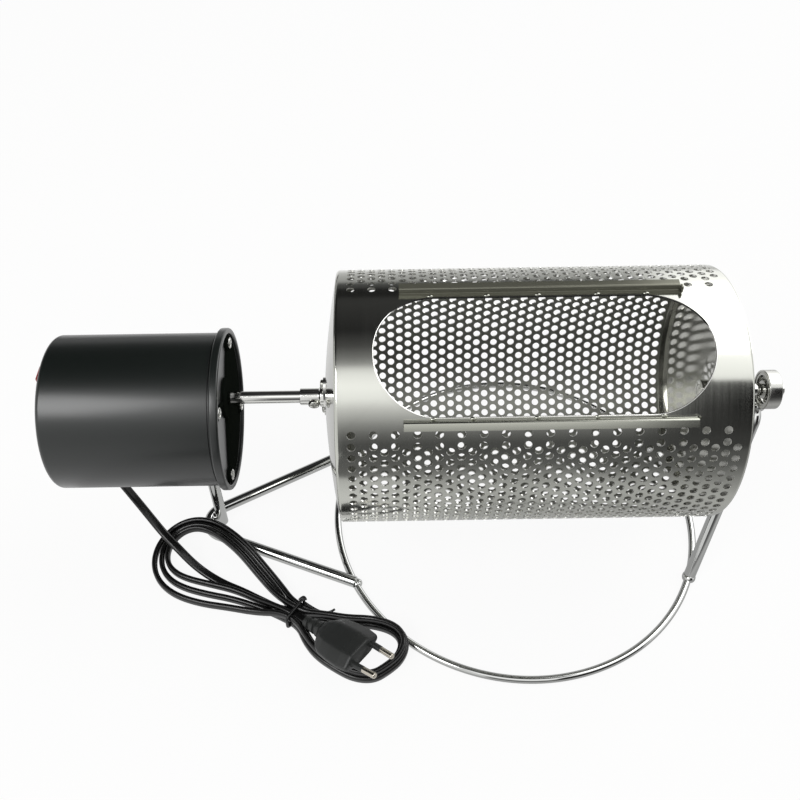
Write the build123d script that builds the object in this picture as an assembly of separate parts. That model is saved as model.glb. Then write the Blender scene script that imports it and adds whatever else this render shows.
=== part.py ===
from build123d import *

import math
import os

# Electric drum coffee roaster: a perforated drum with a loading hatch, turned by a geared motor on a
# chromed wire stand, with its flat mains lead folded into a tied hank beside it.
# Millimetres. +X runs from motor to bearing, +Y to the back, +Z up; the floor is Z = 0.
# Drum angles are counted from the front (-Y) upwards.

# Drum
AXIS_Z = 135.0
DRUM_R = 79.0
DRUM_L = 230.0
DRUM_X0 = -47.0
DRUM_X1 = DRUM_X0 + DRUM_L
SHEET = 1.0
PLATE = 0.8
DISH = 8.0
DISH_FLAT_R = 21.5
SKIRT = 4.0
HATCH_L = 189.0
HATCH_W = 71.8
HATCH_X = 69.0
HATCH_ANGLE = 65.3

# Perforation; one hole stands for a field of THIN holes by THIN in the sheet
HOLE_D = 4.8
COLUMN_STEP = 6.06
ROW_STEP = 5.053
FIRST_COLUMN = 9.5
FIRST_ROW_ANGLE = 99.4
COLUMNS = 36
ROWS = 59
THIN = 3

# Hatch rails
RAIL_L = 162.0
RAIL_X0 = -10.0
RAIL_T = 0.9
RAIL_H = 2.7
RAIL_BASE = 2.8
RAIL_LIP = 4.8
RAIL_STOP = 4.5
LOWER_TACKS = (7.4, 29.3, 64.3, 97.1, 133.2)
UPPER_TACKS = (7.6, 40.1, 69.2, 102.9, 130.9)

# Stand
ROD_D = 8.0
RING_WIRE = 5.0
RING_R = 130.0
RING_X = 75.5
ARM_HALF_ANGLE = 25.4
ARM_TURN = 3.3
ARM_BEND_R = 13.0
ARM_BEND = (-136.2, -4.8)
ARM_Z = 4.2
LEG_FOOT_X = 193.3
LEG_FOOT_Y = 57.0
LEG_TOP_X = 227.4
LEG_TOP_Z = 133.6
LEG_BEND_R = 10.0
POST_SIDE = 35.0
POST_SCREW_DEPTH = 14.0

# Bearing at the free end
BEARING_X0 = 220.5
BEARING_W = 7.0
BEARING_R = 11.0
BEARING_PCD_R = 7.5
BALL_R = 1.75
BALLS = 7
RACE_GROOVE_R = 2.08
OUTER_RACE_R = 9.2
INNER_RACE_R = 5.8
CAGE_R = (7.1, 7.9)
CAGE_HALF = 1.3
HOUSING_R = 12.5
HOUSING_LIP_R = 9.8
HOUSING_LIP = 1.0
HOUSING_PROUD = 0.5
AXLE_R = 4.0
AXLE_X0 = 180.2
AXLE_X1 = 233.4

# Motor
MOTOR_DROP = 10.7
MOTOR_Z = AXIS_Z - MOTOR_DROP
MOTOR_R = 49.0
MOTOR_X0 = -227.0
MOTOR_X1 = -123.0
MOTOR_WALL = 1.6
MOTOR_CORNER = 5.0
COVER_R = 52.0
COVER_T = 6.0
COVER_RECESS = 3.0
COVER_RIM = 3.5
COVER_SCREW_R = 42.4
COVER_BOSS_R = 13.0
COVER_PAD_R = 5.4
COVER_SINK_R = 4.2
COVER_SINK = 1.8
RIB_W = 2.4
RIB_DROP = 1.6
PILLAR_R = 5.5
PILLAR_L = 18.0
M4_R = 2.0
M3_R = 1.5
SHAFT_R = 4.0
SHAFT_BORE = 4.05

# Gear box and motor
CASE_R = 30.0
CASE_L = 15.0
CASE_T = 1.5
PIN_BORE = 1.55
YOKE_L = 33.0
YOKE_R = 25.0
YOKE_T = 2.0
COIL_R = 12.0
ROTOR_R = 10.5

# Gear train
MODULE = 0.8
OUTPUT_TEETH = 36
IDLER_SMALL = 12
IDLER_LARGE = 24
ROTOR_TEETH = 10
IDLER_Y = 13.21
IDLER_Z = AXIS_Z - 13.93

# Rocker switch
SWITCH_Y = 0.0
SWITCH_Z = MOTOR_Z + 28.0
BEZEL = (2.0, 15.0, 21.0)
SWITCH_BODY = (12.0, 13.0, 19.2)
SWITCH_WELL = (15.0, 11.0, 17.6)
ROCKER_HALF_W = 5.1
ROCKER_TILT = 8.0
PIVOT_DEPTH = 1.0
PIVOT_R = 1.2
PIVOT_L = 12.4
PIVOT_PLAY = 0.3

# Drive hub
HUB_X0 = -72.3
HUB_R = 5.3
HUB_FLANGE_R = 15.0
HUB_FLANGE_T = 2.0
HUB_SCREW_R = 11.0
HUB_SCREW_ANGLES = (88.0, 268.0)
SET_SCREW_X = -63.4
SET_SCREW_ANGLE = 190.0
AXLE_HUB_R = 7.0
AXLE_FLANGE_R = 18.0

# Cord
CORD_D = 4.4
GLAND_X = -213.0
GLAND_L = 25.0
GLAND_DIRECTION = (14.5, -7.0, -31.3)
GLAND_R = (5.2, 3.2)
GLAND_NECK_R = 5.0
COLLAR_R = 7.0
COLLAR_T = 2.5
HANK_PITCH = 5.2
HANK_LAYER = 5.3
HANK_TURNS = 3
WAIST = (-81.0, -82.0)
HANK_ANGLE = -31.0
WAIST_GAP = 2.7
WAIST_STEP = 5.7
RIGHT_LOBE = (53.2, 1.5, 19.7)
LEFT_LOBE = (-86.0, 3.0, 27.7)
TIE_HALF_W = 11.7
TIE_Z = (0.7, 12.6)
TIE_R = 0.7
PLUG_PITCH = 16.0
PLUG_TURN = -8.0
PLUG_ROLL = -4.0
RELIEF_L = 12.0
RELIEF_R = 5.0
PLUG_SECTIONS = (
    (12.0, 6.0, 5.2, 3.5),
    (23.0, 14.0, 6.4, 6.5),
    (42.0, 16.8, 6.8, 7.0),
    (50.0, 15.6, 6.2, 6.4),
)
PLUG_EDGE = 1.6
PIN_FOOT = 47.0
PIN_L = 22.0
PIN_R = 2.0
PIN_CORE_R = 1.3
PIN_HALF_GAP = 9.3
PIN_LEAN = 0.035
SLEEVE_R = 1.7
SLEEVE_L = 12.0
LEAD_POINTS = (
    (-198.5, -7.0, 44.0),
    (-192.5, -11.4, 35.5),
    (-186.8, -16.1, 28.5),
    (-177.8, -24.5, 20.5),
    (-167.5, -35.7, 17.0),
    (-157.7, -44.2, 10.0),
    (-147.7, -51.0, 5.5),
    (-134.5, -58.6, 3.2),
    (-121.3, -64.3, 3.0),
    (-108.4, -69.1, 3.0),
)

parts = {}


def turned(points, y=0.0, z=AXIS_Z):
    """Solid of revolution about a line along X, from corners given as (x, radius)."""
    face = make_face(Polyline(*points, close=True))
    return Pos(0, y, z) * revolve(face, Axis.X)


def bar(x0, x1, radius, y=0.0, z=AXIS_Z):
    """Plain cylinder along X."""
    return Pos((x0 + x1) / 2, y, z) * (Rot(0, 90, 0) * Cylinder(radius, x1 - x0))


def tube(x0, x1, outer, inner, y=0.0, z=AXIS_Z):
    """Cylinder along X with a bore."""
    return turned([(x0, inner), (x1, inner), (x1, outer), (x0, outer)], y, z)


def sector(x0, x1, r0, r1, low, high):
    """Piece of a ring about the drum axis between two drum angles."""
    corners = [(x0, -r0), (x1, -r0), (x1, -r1), (x0, -r1)]
    face = make_face(Polyline(*corners, close=True))
    solid = revolve(face, Axis((0, 0, 0), (-1, 0, 0)), revolution_arc=high - low)
    return Pos(0, 0, AXIS_Z) * (Rot(-low, 0, 0) * solid)


def around(radius, angle, z=AXIS_Z):
    """Point (y, z) at a radius, with the angle counted from +Y towards +Z."""
    turn = math.radians(angle)
    return radius * math.cos(turn), z + radius * math.sin(turn)


def gear(teeth, x0, x1, y, z, phase, bore):
    """Spur gear with straight-sided teeth and generous backlash; one tooth stands at the phase."""
    pitch_r = MODULE * teeth / 2
    root_r = pitch_r - 1.1
    tip_r = pitch_r + 0.7
    outline = []
    for tooth in range(teeth):
        centre = math.radians(phase + 360 * tooth / teeth)
        for radius, half in ((root_r, -0.58), (tip_r, -0.25), (tip_r, 0.25), (root_r, 0.58)):
            angle = centre + half / radius
            outline.append((radius * math.cos(angle), radius * math.sin(angle)))
    flat = make_face(Polyline(*outline, close=True))
    if bore:
        flat = flat - Circle(bore)
    solid = extrude(flat, x1 - x0)
    return Pos(x0, y, z) * (Plane.YZ.location * solid)


def pan_screw(head_r, head_h, shank_r, shank_l):
    """Pan-head screw with a cross recess, head up from Z = 0 and shank down."""
    head = fillet(Cylinder(head_r, head_h, align=(Align.CENTER, Align.CENTER, Align.MIN))
                  .edges().sort_by(Axis.Z)[-1], head_h * 0.6)
    slot = Pos(0, 0, head_h) * (Box(head_r * 1.1, 0.8, 1.6) + Box(0.8, head_r * 1.1, 1.6))
    shank = Cylinder(shank_r, shank_l, align=(Align.CENTER, Align.CENTER, Align.MAX))
    return head - slot + shank


def facing_left(x, y, z):
    """Place for a screw whose head looks towards the motor."""
    return Pos(x, y, z) * Rot(0, -90, 0)


def facing_right(x, y, z):
    """Place for a screw whose head looks towards the bearing."""
    return Pos(x, y, z) * Rot(0, 90, 0)


def unit(vector):
    """Vector of length one."""
    return Vector(*vector).normalized()


def add(name, *solids):
    """Keep one piece under its name, as one solid or as a group of separate ones."""
    flat = []
    for item in solids:
        flat.extend(item.solids())
    parts[name] = flat[0] if len(flat) == 1 else Compound(children=flat)
    parts[name].label = name


# Stand of bent rod on a wire ring
ring = Pos(RING_X, 0, RING_WIRE / 2) * Torus(RING_R, RING_WIRE / 2)
add("base_ring", ring)

arm_half = math.radians(ARM_HALF_ANGLE)
arm_turn = math.radians(ARM_TURN)
arm_reach = ARM_BEND_R / math.sin(arm_half)
arm_corner = Vector(*ARM_BEND, ARM_Z) - Vector(math.cos(arm_turn), math.sin(arm_turn), 0) * arm_reach
arm_ends = []
for side in (1, -1):
    arm_heading = Vector(math.cos(arm_turn + side * arm_half), math.sin(arm_turn + side * arm_half), 0)
    to_ring = Vector(RING_X, 0, ARM_Z) - arm_corner
    nearest = to_ring.dot(arm_heading)
    arm_l = nearest - math.sqrt(RING_R**2 - to_ring.dot(to_ring) + nearest**2)
    arm_ends.append(arm_corner + arm_heading * arm_l)
arm_path = FilletPolyline(arm_ends[0], arm_corner, arm_ends[1], radius=ARM_BEND_R)
arm_section = Plane(arm_path @ 0, z_dir=arm_path % 0) * Circle(ROD_D / 2)
add("motor_arms", sweep(arm_section, path=arm_path) - ring)

post_x = ARM_BEND[0] - (ARM_BEND_R - ROD_D) * math.cos(math.radians(POST_SIDE))
post_y = ARM_BEND[1] + (ARM_BEND_R - ROD_D) * math.sin(math.radians(POST_SIDE))
motor_bottom = MOTOR_Z - MOTOR_R
post = Pos(post_x, post_y, 0) * Cylinder(ROD_D / 2, MOTOR_Z, align=(Align.CENTER, Align.CENTER, Align.MIN))
motor_envelope = bar(MOTOR_X0, MOTOR_X1, MOTOR_R, z=MOTOR_Z)
post_hole = Pos(post_x, post_y, motor_bottom - POST_SCREW_DEPTH) * Cylinder(
    M4_R, 2 * POST_SCREW_DEPTH, align=(Align.CENTER, Align.CENTER, Align.MIN))
add("motor_post", post - motor_envelope - post_hole)

housing_x0 = BEARING_X0 - HOUSING_PROUD
housing_x1 = BEARING_X0 + BEARING_W + HOUSING_LIP
bearing_envelope = bar(housing_x0, housing_x1, HOUSING_R)
leg_foot_z = RING_WIRE / 2
leg_path = FilletPolyline((LEG_FOOT_X, LEG_FOOT_Y, leg_foot_z), (LEG_TOP_X, 0, LEG_TOP_Z),
                          (LEG_FOOT_X, -LEG_FOOT_Y, leg_foot_z), radius=LEG_BEND_R)
leg_section = Plane(leg_path @ 0, z_dir=leg_path % 0) * Circle(ROD_D / 2)
below_floor = Pos(0, 0, -20) * Box(700, 400, 40)
add("bearing_legs", sweep(leg_section, path=leg_path) - ring - bearing_envelope - below_floor)

# Ball bearing in its welded housing
bearing_x1 = BEARING_X0 + BEARING_W
bearing_mid = BEARING_X0 + BEARING_W / 2
add("bearing_housing", turned([(housing_x0, BEARING_R), (bearing_x1, BEARING_R),
                               (bearing_x1, HOUSING_LIP_R), (housing_x1, HOUSING_LIP_R),
                               (housing_x1, HOUSING_R), (housing_x0, HOUSING_R)]))
race_groove = Pos(bearing_mid, 0, AXIS_Z) * (Rot(0, 90, 0) * Torus(BEARING_PCD_R, RACE_GROOVE_R))
add("bearing_outer_race", tube(BEARING_X0, bearing_x1, BEARING_R, OUTER_RACE_R) - race_groove)
add("bearing_inner_race", tube(BEARING_X0, bearing_x1, INNER_RACE_R, AXLE_R) - race_groove)
cage = tube(bearing_mid - CAGE_HALF, bearing_mid + CAGE_HALF, CAGE_R[1], CAGE_R[0])
for ball in range(BALLS):
    ball_y, ball_z = around(BEARING_PCD_R, 90 + 360 * ball / BALLS)
    cage = cage + Pos(bearing_mid, ball_y, ball_z) * Sphere(BALL_R)
add("ball_cage", cage)

# Motor housing, its cover and the screws
screw_places = []
for corner in (45, 135, 225, 315):
    screw_places.append(around(COVER_SCREW_R, corner, MOTOR_Z))
shell = bar(MOTOR_X0, MOTOR_X1, MOTOR_R, z=MOTOR_Z)
shell = fillet(shell.edges().sort_by(Axis.X)[0], MOTOR_CORNER)
hollow = bar(MOTOR_X0 + MOTOR_WALL, MOTOR_X1, MOTOR_R - MOTOR_WALL, z=MOTOR_Z)
hollow = fillet(hollow.edges().sort_by(Axis.X)[0], MOTOR_CORNER - MOTOR_WALL)
housing = shell - hollow
for screw_y, screw_z in screw_places:
    pillar = bar(MOTOR_X1 - PILLAR_L, MOTOR_X1, PILLAR_R, screw_y, screw_z) & shell
    housing = housing + pillar
    housing = housing - bar(MOTOR_X1 - PILLAR_L + 6, MOTOR_X1, M4_R, screw_y, screw_z)
gland_axis = unit(GLAND_DIRECTION)
gland_start = Vector(GLAND_X, 0, motor_bottom)
gland_hole = Pos(*gland_start) * Cylinder(GLAND_NECK_R, 12)
switch_hole = Pos(MOTOR_X0, SWITCH_Y, SWITCH_Z) * Box(*SWITCH_BODY)
housing = housing - gland_hole - switch_hole - post_hole
add("motor_housing", housing)

cover_x1 = MOTOR_X1 + COVER_T
cover_floor = cover_x1 - COVER_RECESS
cover = turned([(MOTOR_X1, 0), (cover_floor, 0), (cover_floor, COVER_R - COVER_RIM),
                (cover_x1 - 0.6, COVER_R - COVER_RIM), (cover_x1, COVER_R - COVER_RIM + 0.6),
                (cover_x1, COVER_R - 1), (cover_x1 - 1, COVER_R), (MOTOR_X1, COVER_R)], z=MOTOR_Z)
cover = cover + bar(MOTOR_X1, cover_x1 - 0.8, COVER_BOSS_R)
for screw_y, screw_z in screw_places:
    span = math.hypot(screw_y, screw_z - AXIS_Z)
    slope = math.degrees(math.atan2(screw_z - AXIS_Z, screw_y))
    rib = Pos(cover_floor + (COVER_RECESS - RIB_DROP) / 2, screw_y / 2, (screw_z + AXIS_Z) / 2) * (
        Rot(slope, 0, 0) * Box(COVER_RECESS - RIB_DROP, span, RIB_W))
    cover = cover + rib
    cover = cover + bar(cover_floor, cover_x1 - COVER_SINK + 0.6, COVER_PAD_R, screw_y, screw_z)
for screw_y, screw_z in screw_places:
    cover = cover - bar(cover_x1 - COVER_SINK, cover_x1, COVER_SINK_R, screw_y, screw_z)
    cover = cover - bar(MOTOR_X1, cover_x1, M4_R, screw_y, screw_z)
add("front_cover", cover - bar(MOTOR_X1, cover_x1, SHAFT_BORE))

cover_screw = pan_screw(3.6, 2.2, M4_R, 14.0)
cover_screws = []
for screw_y, screw_z in screw_places:
    cover_screws.append(facing_right(cover_x1 - COVER_SINK, screw_y, screw_z) * cover_screw)
add("cover_screws", *cover_screws)

post_head_r = 3.6
post_seat = MOTOR_Z - math.sqrt((MOTOR_R - MOTOR_WALL)**2 - (abs(post_y) + post_head_r)**2)
post_head = Cylinder(post_head_r, 2.4, align=(Align.CENTER, Align.CENTER, Align.MIN))
post_shank = Cylinder(M4_R, POST_SCREW_DEPTH + MOTOR_WALL, align=(Align.CENTER, Align.CENTER, Align.MAX))
add("post_screw", Pos(post_x, post_y, post_seat) * (post_head + post_shank))

# Gear box and motor inside the housing
case_x1 = MOTOR_X1
case_x0 = MOTOR_X1 - CASE_L
case = turned([(case_x0, CASE_R - CASE_T), (case_x1 - CASE_T, CASE_R - CASE_T), (case_x1 - CASE_T, 0),
               (case_x1, 0), (case_x1, CASE_R), (case_x0, CASE_R)], z=MOTOR_Z)
case = case - bar(case_x0, case_x1, SHAFT_BORE) - bar(case_x0, case_x1, PIN_BORE, IDLER_Y, IDLER_Z)
add("gear_case", case)
plate_x0 = case_x0 - CASE_T
back_plate = bar(plate_x0, case_x0, CASE_R, z=MOTOR_Z)
back_plate = back_plate - bar(plate_x0, case_x0, SHAFT_BORE)
back_plate = back_plate - bar(plate_x0, case_x0, PIN_BORE, IDLER_Y, IDLER_Z)
add("gear_plate", back_plate - bar(plate_x0, case_x0, PIN_BORE, z=MOTOR_Z))

yoke_x0 = plate_x0 - YOKE_L
yoke_inner = YOKE_R - YOKE_T
yoke = turned([(plate_x0, yoke_inner), (yoke_x0 + YOKE_T, yoke_inner), (yoke_x0 + YOKE_T, PIN_BORE),
               (yoke_x0, PIN_BORE), (yoke_x0, YOKE_R), (plate_x0, YOKE_R)], z=MOTOR_Z)
add("stator_yoke", yoke)
add("stator_coil", tube(plate_x0 - 27, plate_x0 - 4, yoke_inner, COIL_R, z=MOTOR_Z))

output_phase = math.degrees(math.atan2(IDLER_Z - AXIS_Z, IDLER_Y))
add("output_gear", gear(OUTPUT_TEETH, case_x1 - 8, case_x1 - 3, 0, AXIS_Z, output_phase, SHAFT_R))
idler_phase = output_phase + 180 + 180 / IDLER_SMALL
large_phase = math.degrees(math.atan2(MOTOR_Z - IDLER_Z, -IDLER_Y))
idler = gear(IDLER_SMALL, case_x1 - 9.5, case_x1 - 2.5, IDLER_Y, IDLER_Z, idler_phase, 0)
idler = idler + gear(IDLER_LARGE, case_x1 - 13.5, case_x1 - 9.5, IDLER_Y, IDLER_Z, large_phase, 0)
idler = idler + bar(plate_x0 + 0.2, case_x1 - 0.3, M3_R, IDLER_Y, IDLER_Z)
add("idler_gear", idler)
rotor_phase = large_phase + 180 + 180 / ROTOR_TEETH
rotor = gear(ROTOR_TEETH, case_x1 - 14, case_x1 - 9, 0, MOTOR_Z, rotor_phase, 0)
rotor = rotor + bar(yoke_x0 + 0.3, case_x1 - 9, M3_R, z=MOTOR_Z)
rotor = rotor + bar(plate_x0 - 26, plate_x0 - 5, ROTOR_R, z=MOTOR_Z)
add("rotor", rotor)
add("output_shaft", bar(plate_x0 + 0.3, DRUM_X0 - DISH + PLATE, SHAFT_R))

# Rocker switch in the end of the housing
switch_x = MOTOR_X0
bezel = Pos(switch_x - BEZEL[0] / 2, SWITCH_Y, SWITCH_Z) * Box(*BEZEL)
bezel = fillet(bezel.edges().filter_by(Axis.X), 1.2)
bezel = bezel + Pos(switch_x + SWITCH_BODY[0] / 2, SWITCH_Y, SWITCH_Z) * Box(*SWITCH_BODY)
well = Pos(switch_x + 3.5, SWITCH_Y, SWITCH_Z) * Box(*SWITCH_WELL)
pivot_place = Pos(switch_x + PIVOT_DEPTH, SWITCH_Y, SWITCH_Z)
pivot_hole = pivot_place * (Rot(90, 0, 0) * Cylinder(PIVOT_R + PIVOT_PLAY, SWITCH_BODY[1]))
add("switch_frame", bezel - well - pivot_hole)
rocker_outline = [(3.0, -6.5), (3.0, 6.5), (-6.6, 8.0), (-5.2, 0.0), (-6.6, -8.0)]
rocker_face = make_face(Polyline(*rocker_outline, close=True))
rocker = extrude(rocker_face, ROCKER_HALF_W, both=True)
rocker = fillet(rocker.edges().filter_by(Axis.Z).sort_by(Axis.X)[:2], 0.8)
rocker = Rot(90, 0, 0) * (rocker + Cylinder(PIVOT_R, PIVOT_L))
add("switch_rocker", pivot_place * (Rot(0, ROCKER_TILT, 0) * rocker))

# Gland with its drooping boot
gland_end = gland_start + gland_axis * GLAND_L
boot_plane = Plane(gland_start - gland_axis * 4, z_dir=gland_axis)
boot = Solid.make_cone(GLAND_R[0], GLAND_R[1], GLAND_L + 4, plane=boot_plane)
boot = Part(boot.wrapped) - motor_envelope
collar = Pos(GLAND_X, 0, motor_bottom - COLLAR_T) * Cylinder(
    COLLAR_R, 6, align=(Align.CENTER, Align.CENTER, Align.MIN))
collar = collar - motor_envelope
neck = Pos(GLAND_X, 0, motor_bottom - 1.0) * Cylinder(
    GLAND_NECK_R, 6, align=(Align.CENTER, Align.CENTER, Align.MIN))
add("cord_gland", boot + collar + neck)

# Drum sheet with its hatch and perforation
drum = tube(DRUM_X0, DRUM_X1, DRUM_R, DRUM_R - SHEET)
hatch_normal = (0, -math.cos(math.radians(HATCH_ANGLE)), math.sin(math.radians(HATCH_ANGLE)))
hatch_plane = Plane((HATCH_X, 0, AXIS_Z), x_dir=(1, 0, 0), z_dir=hatch_normal)
drum = drum - extrude(hatch_plane * SlotOverall(HATCH_L, HATCH_W), 100)
hex_r = HOLE_D / 2 * math.sqrt(2 * math.pi / (3 * math.sqrt(3)))
punch = extrude(RegularPolygon(hex_r, 6), 6)
punches = []
for column in range(0, COLUMNS, THIN):
    hole_x = DRUM_X0 + FIRST_COLUMN + column * COLUMN_STEP
    first = 0.0 if column % 2 == 0 else 1.5
    row = first
    while row <= ROWS - 1 - first + 0.01:
        angle = FIRST_ROW_ANGLE + row * ROW_STEP
        turn = math.radians(angle)
        outward = (0, -math.cos(turn), math.sin(turn))
        foot = Vector(hole_x, 0, AXIS_Z) + Vector(*outward) * (DRUM_R - 4)
        punches.append(Plane(foot, x_dir=(1, 0, 0), z_dir=outward).location * punch)
        row += THIN
drum = drum - punches
add("drum_shell", drum)


def dished_plate():
    """Left end plate, dished outwards, with a skirt inside the sheet."""
    inner_r = DRUM_R - SHEET
    x0 = DRUM_X0
    flat_x = DRUM_X0 - DISH
    outside = ThreePointArc((x0, inner_r), (x0 - 5.4, 52.0), (flat_x, DISH_FLAT_R))
    inside = ThreePointArc((flat_x + PLATE, DISH_FLAT_R), (x0 - 5.4 + PLATE, 52.0),
                           (x0 + PLATE, inner_r - PLATE))
    lines = Polyline((flat_x, DISH_FLAT_R), (flat_x, SHAFT_R), (flat_x + PLATE, SHAFT_R),
                     (flat_x + PLATE, DISH_FLAT_R))
    skirt = Polyline((x0 + PLATE, inner_r - PLATE), (x0 + SKIRT, inner_r - PLATE),
                     (x0 + SKIRT, inner_r), (x0, inner_r))
    face = make_face([*outside.edges(), *lines.edges(), *inside.edges(), *skirt.edges()])
    return revolve(face, Axis.X)


plate_left = Pos(0, 0, AXIS_Z) * dished_plate()
plate_right = mirror(plate_left, about=Plane((DRUM_X0 + DRUM_L / 2, 0, 0), z_dir=(1, 0, 0)))
flat_left = DRUM_X0 - DISH
flat_right = DRUM_X1 + DISH
hub_places = []
for hub_angle in HUB_SCREW_ANGLES:
    hub_places.append(around(HUB_SCREW_R, hub_angle))
for screw_y, screw_z in hub_places:
    plate_left = plate_left - bar(flat_left - 2, flat_left + 3, M3_R, screw_y, screw_z)
    plate_right = plate_right - bar(flat_right - 3, flat_right + 2, M3_R, screw_y, screw_z)
add("end_plate_left", plate_left)
add("end_plate_right", plate_right)

# Drive hub on the motor side, held on the shaft by one set screw
flange_x = flat_left - HUB_FLANGE_T
drive_hub = turned([(HUB_X0, SHAFT_R), (flat_left, SHAFT_R), (flat_left, HUB_FLANGE_R),
                    (flange_x + 0.5, HUB_FLANGE_R), (flange_x, HUB_FLANGE_R - 0.5),
                    (flange_x, HUB_R + 1.6), (flange_x - 1.0, HUB_R + 1.2), (flange_x - 2.6, HUB_R),
                    (HUB_X0 + 0.5, HUB_R), (HUB_X0, HUB_R - 0.5)])
set_y, set_z = around(1.0, SET_SCREW_ANGLE, 0.0)
set_seat_r = HUB_R * 0.92
set_plane = Plane((SET_SCREW_X, set_seat_r * set_y, AXIS_Z + set_seat_r * set_z), z_dir=(0, set_y, set_z))
set_seat = set_plane.location * Cylinder(4.2, 6, align=(Align.CENTER, Align.CENTER, Align.MIN))
set_bore = set_plane.location * Cylinder(M4_R, 10)
for screw_y, screw_z in hub_places:
    drive_hub = drive_hub - bar(flange_x - 1, flat_left + 1, M3_R, screw_y, screw_z)
shaft_core = bar(HUB_X0 - 5, flat_left + 5, SHAFT_R)
add("drive_hub", drive_hub - set_seat - set_bore)
set_screw = set_plane.location * pan_screw(3.5, 2.6, M4_R, 3.0)
add("hub_set_screw", set_screw - shaft_core)
hub_screw = pan_screw(2.8, 2.0, M3_R, 6.0)
hub_nut = extrude(RegularPolygon(3.1, 6) - Circle(M3_R), 2.2)
left_screws = []
nuts = []
right_screws = []
axle_flange_x = flat_right - PLATE - HUB_FLANGE_T
for screw_y, screw_z in hub_places:
    left_screws.append(facing_left(flange_x, screw_y, screw_z) * hub_screw)
    nuts.append(facing_right(flat_left + PLATE, screw_y, screw_z) * hub_nut)
    right_screws.append(facing_left(axle_flange_x, screw_y, screw_z) * hub_screw)
    nuts.append(facing_right(flat_right, screw_y, screw_z) * hub_nut)
add("drive_hub_screws", *left_screws)
add("hub_nuts", *nuts)

# Axle hub inside the far end and the stub axle that runs in the bearing
axle_hub = turned([(AXLE_X0, AXLE_R), (flat_right - PLATE, AXLE_R), (flat_right - PLATE, AXLE_FLANGE_R),
                   (axle_flange_x + 0.5, AXLE_FLANGE_R), (axle_flange_x, AXLE_FLANGE_R - 0.5),
                   (axle_flange_x, AXLE_HUB_R), (AXLE_X0 + 0.5, AXLE_HUB_R), (AXLE_X0, AXLE_HUB_R - 0.5)])
for screw_y, screw_z in hub_places:
    axle_hub = axle_hub - bar(axle_flange_x - 1, flat_right, M3_R, screw_y, screw_z)
add("axle_hub", axle_hub)
add("axle_hub_screws", *right_screws)
stub = bar(AXLE_X0, AXLE_X1, AXLE_R)
add("stub_axle", chamfer(stub.edges().sort_by(Axis.X)[-1], 0.6))


def rail(edge, away, x0):
    """Folded rail along one hatch edge: foot by the hatch, low wall, lip turned away from it."""
    degree = math.degrees(1 / DRUM_R)
    near = edge + away * 0.2
    wall = near + away * RAIL_BASE * degree
    back = wall + away * RAIL_T * degree
    tip = wall + away * RAIL_LIP * degree
    x1 = x0 + RAIL_L

    def strip(r0, r1, one, two, start=x0):
        return sector(start, x1, r0, r1, min(one, two), max(one, two))

    solid = strip(DRUM_R, DRUM_R + RAIL_T, near, back)
    solid = solid + strip(DRUM_R, DRUM_R + RAIL_H, wall, back)
    solid = solid + strip(DRUM_R + RAIL_H - RAIL_T, DRUM_R + RAIL_H, wall, tip)
    return solid + strip(DRUM_R, DRUM_R + RAIL_STOP, near, back, x1 - RAIL_T)


def tacks(edge, away, places):
    """Short weld beads on the rail foot, along the hatch side."""
    degree = math.degrees(1 / DRUM_R)
    one = edge + away * 0.2
    two = one + away * 1.1 * degree
    beads = []
    for x in places:
        low, high = min(one, two), max(one, two)
        beads.append(sector(x - 1.6, x + 1.6, DRUM_R + RAIL_T, DRUM_R + RAIL_T + 0.5, low, high))
    return beads


half_span = math.degrees(math.asin(HATCH_W / 2 / DRUM_R))
lower_edge = HATCH_ANGLE - half_span
upper_edge = HATCH_ANGLE + half_span
add("rail_lower", rail(lower_edge, -1, RAIL_X0 + 1.0))
add("rail_upper", rail(upper_edge, 1, RAIL_X0))
add("rail_welds", *tacks(lower_edge, -1, LOWER_TACKS), *tacks(upper_edge, 1, UPPER_TACKS))

# Folded hank: figure with a narrow waist, spiralling out below and in again on top
hank_turn = math.radians(HANK_ANGLE)
along = Vector(math.cos(hank_turn), math.sin(hank_turn), 0)
across = Vector(-math.sin(hank_turn), math.cos(hank_turn), 0)
middle = HANK_TURNS / 2
REST_Z = CORD_D / 2 + 0.3
LIFT = {"waist": 1.6, "run": 7.1, "arm": 9.6, "settle": 2.2, "floor": 0.0, "plug": 3.0}


def on_floor(u, v, z):
    """Point given along the hank, across it and in height."""
    return Vector(WAIST[0], WAIST[1], 0) + along * u + across * v + Vector(0, 0, z)


def layer(turn):
    """Height share of the strand: 0 on the lower layer, 1 on the upper, climbing in the middle turn."""
    return min(1.0, max(0.0, (turn - middle) / 0.25 + 0.5))


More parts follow.
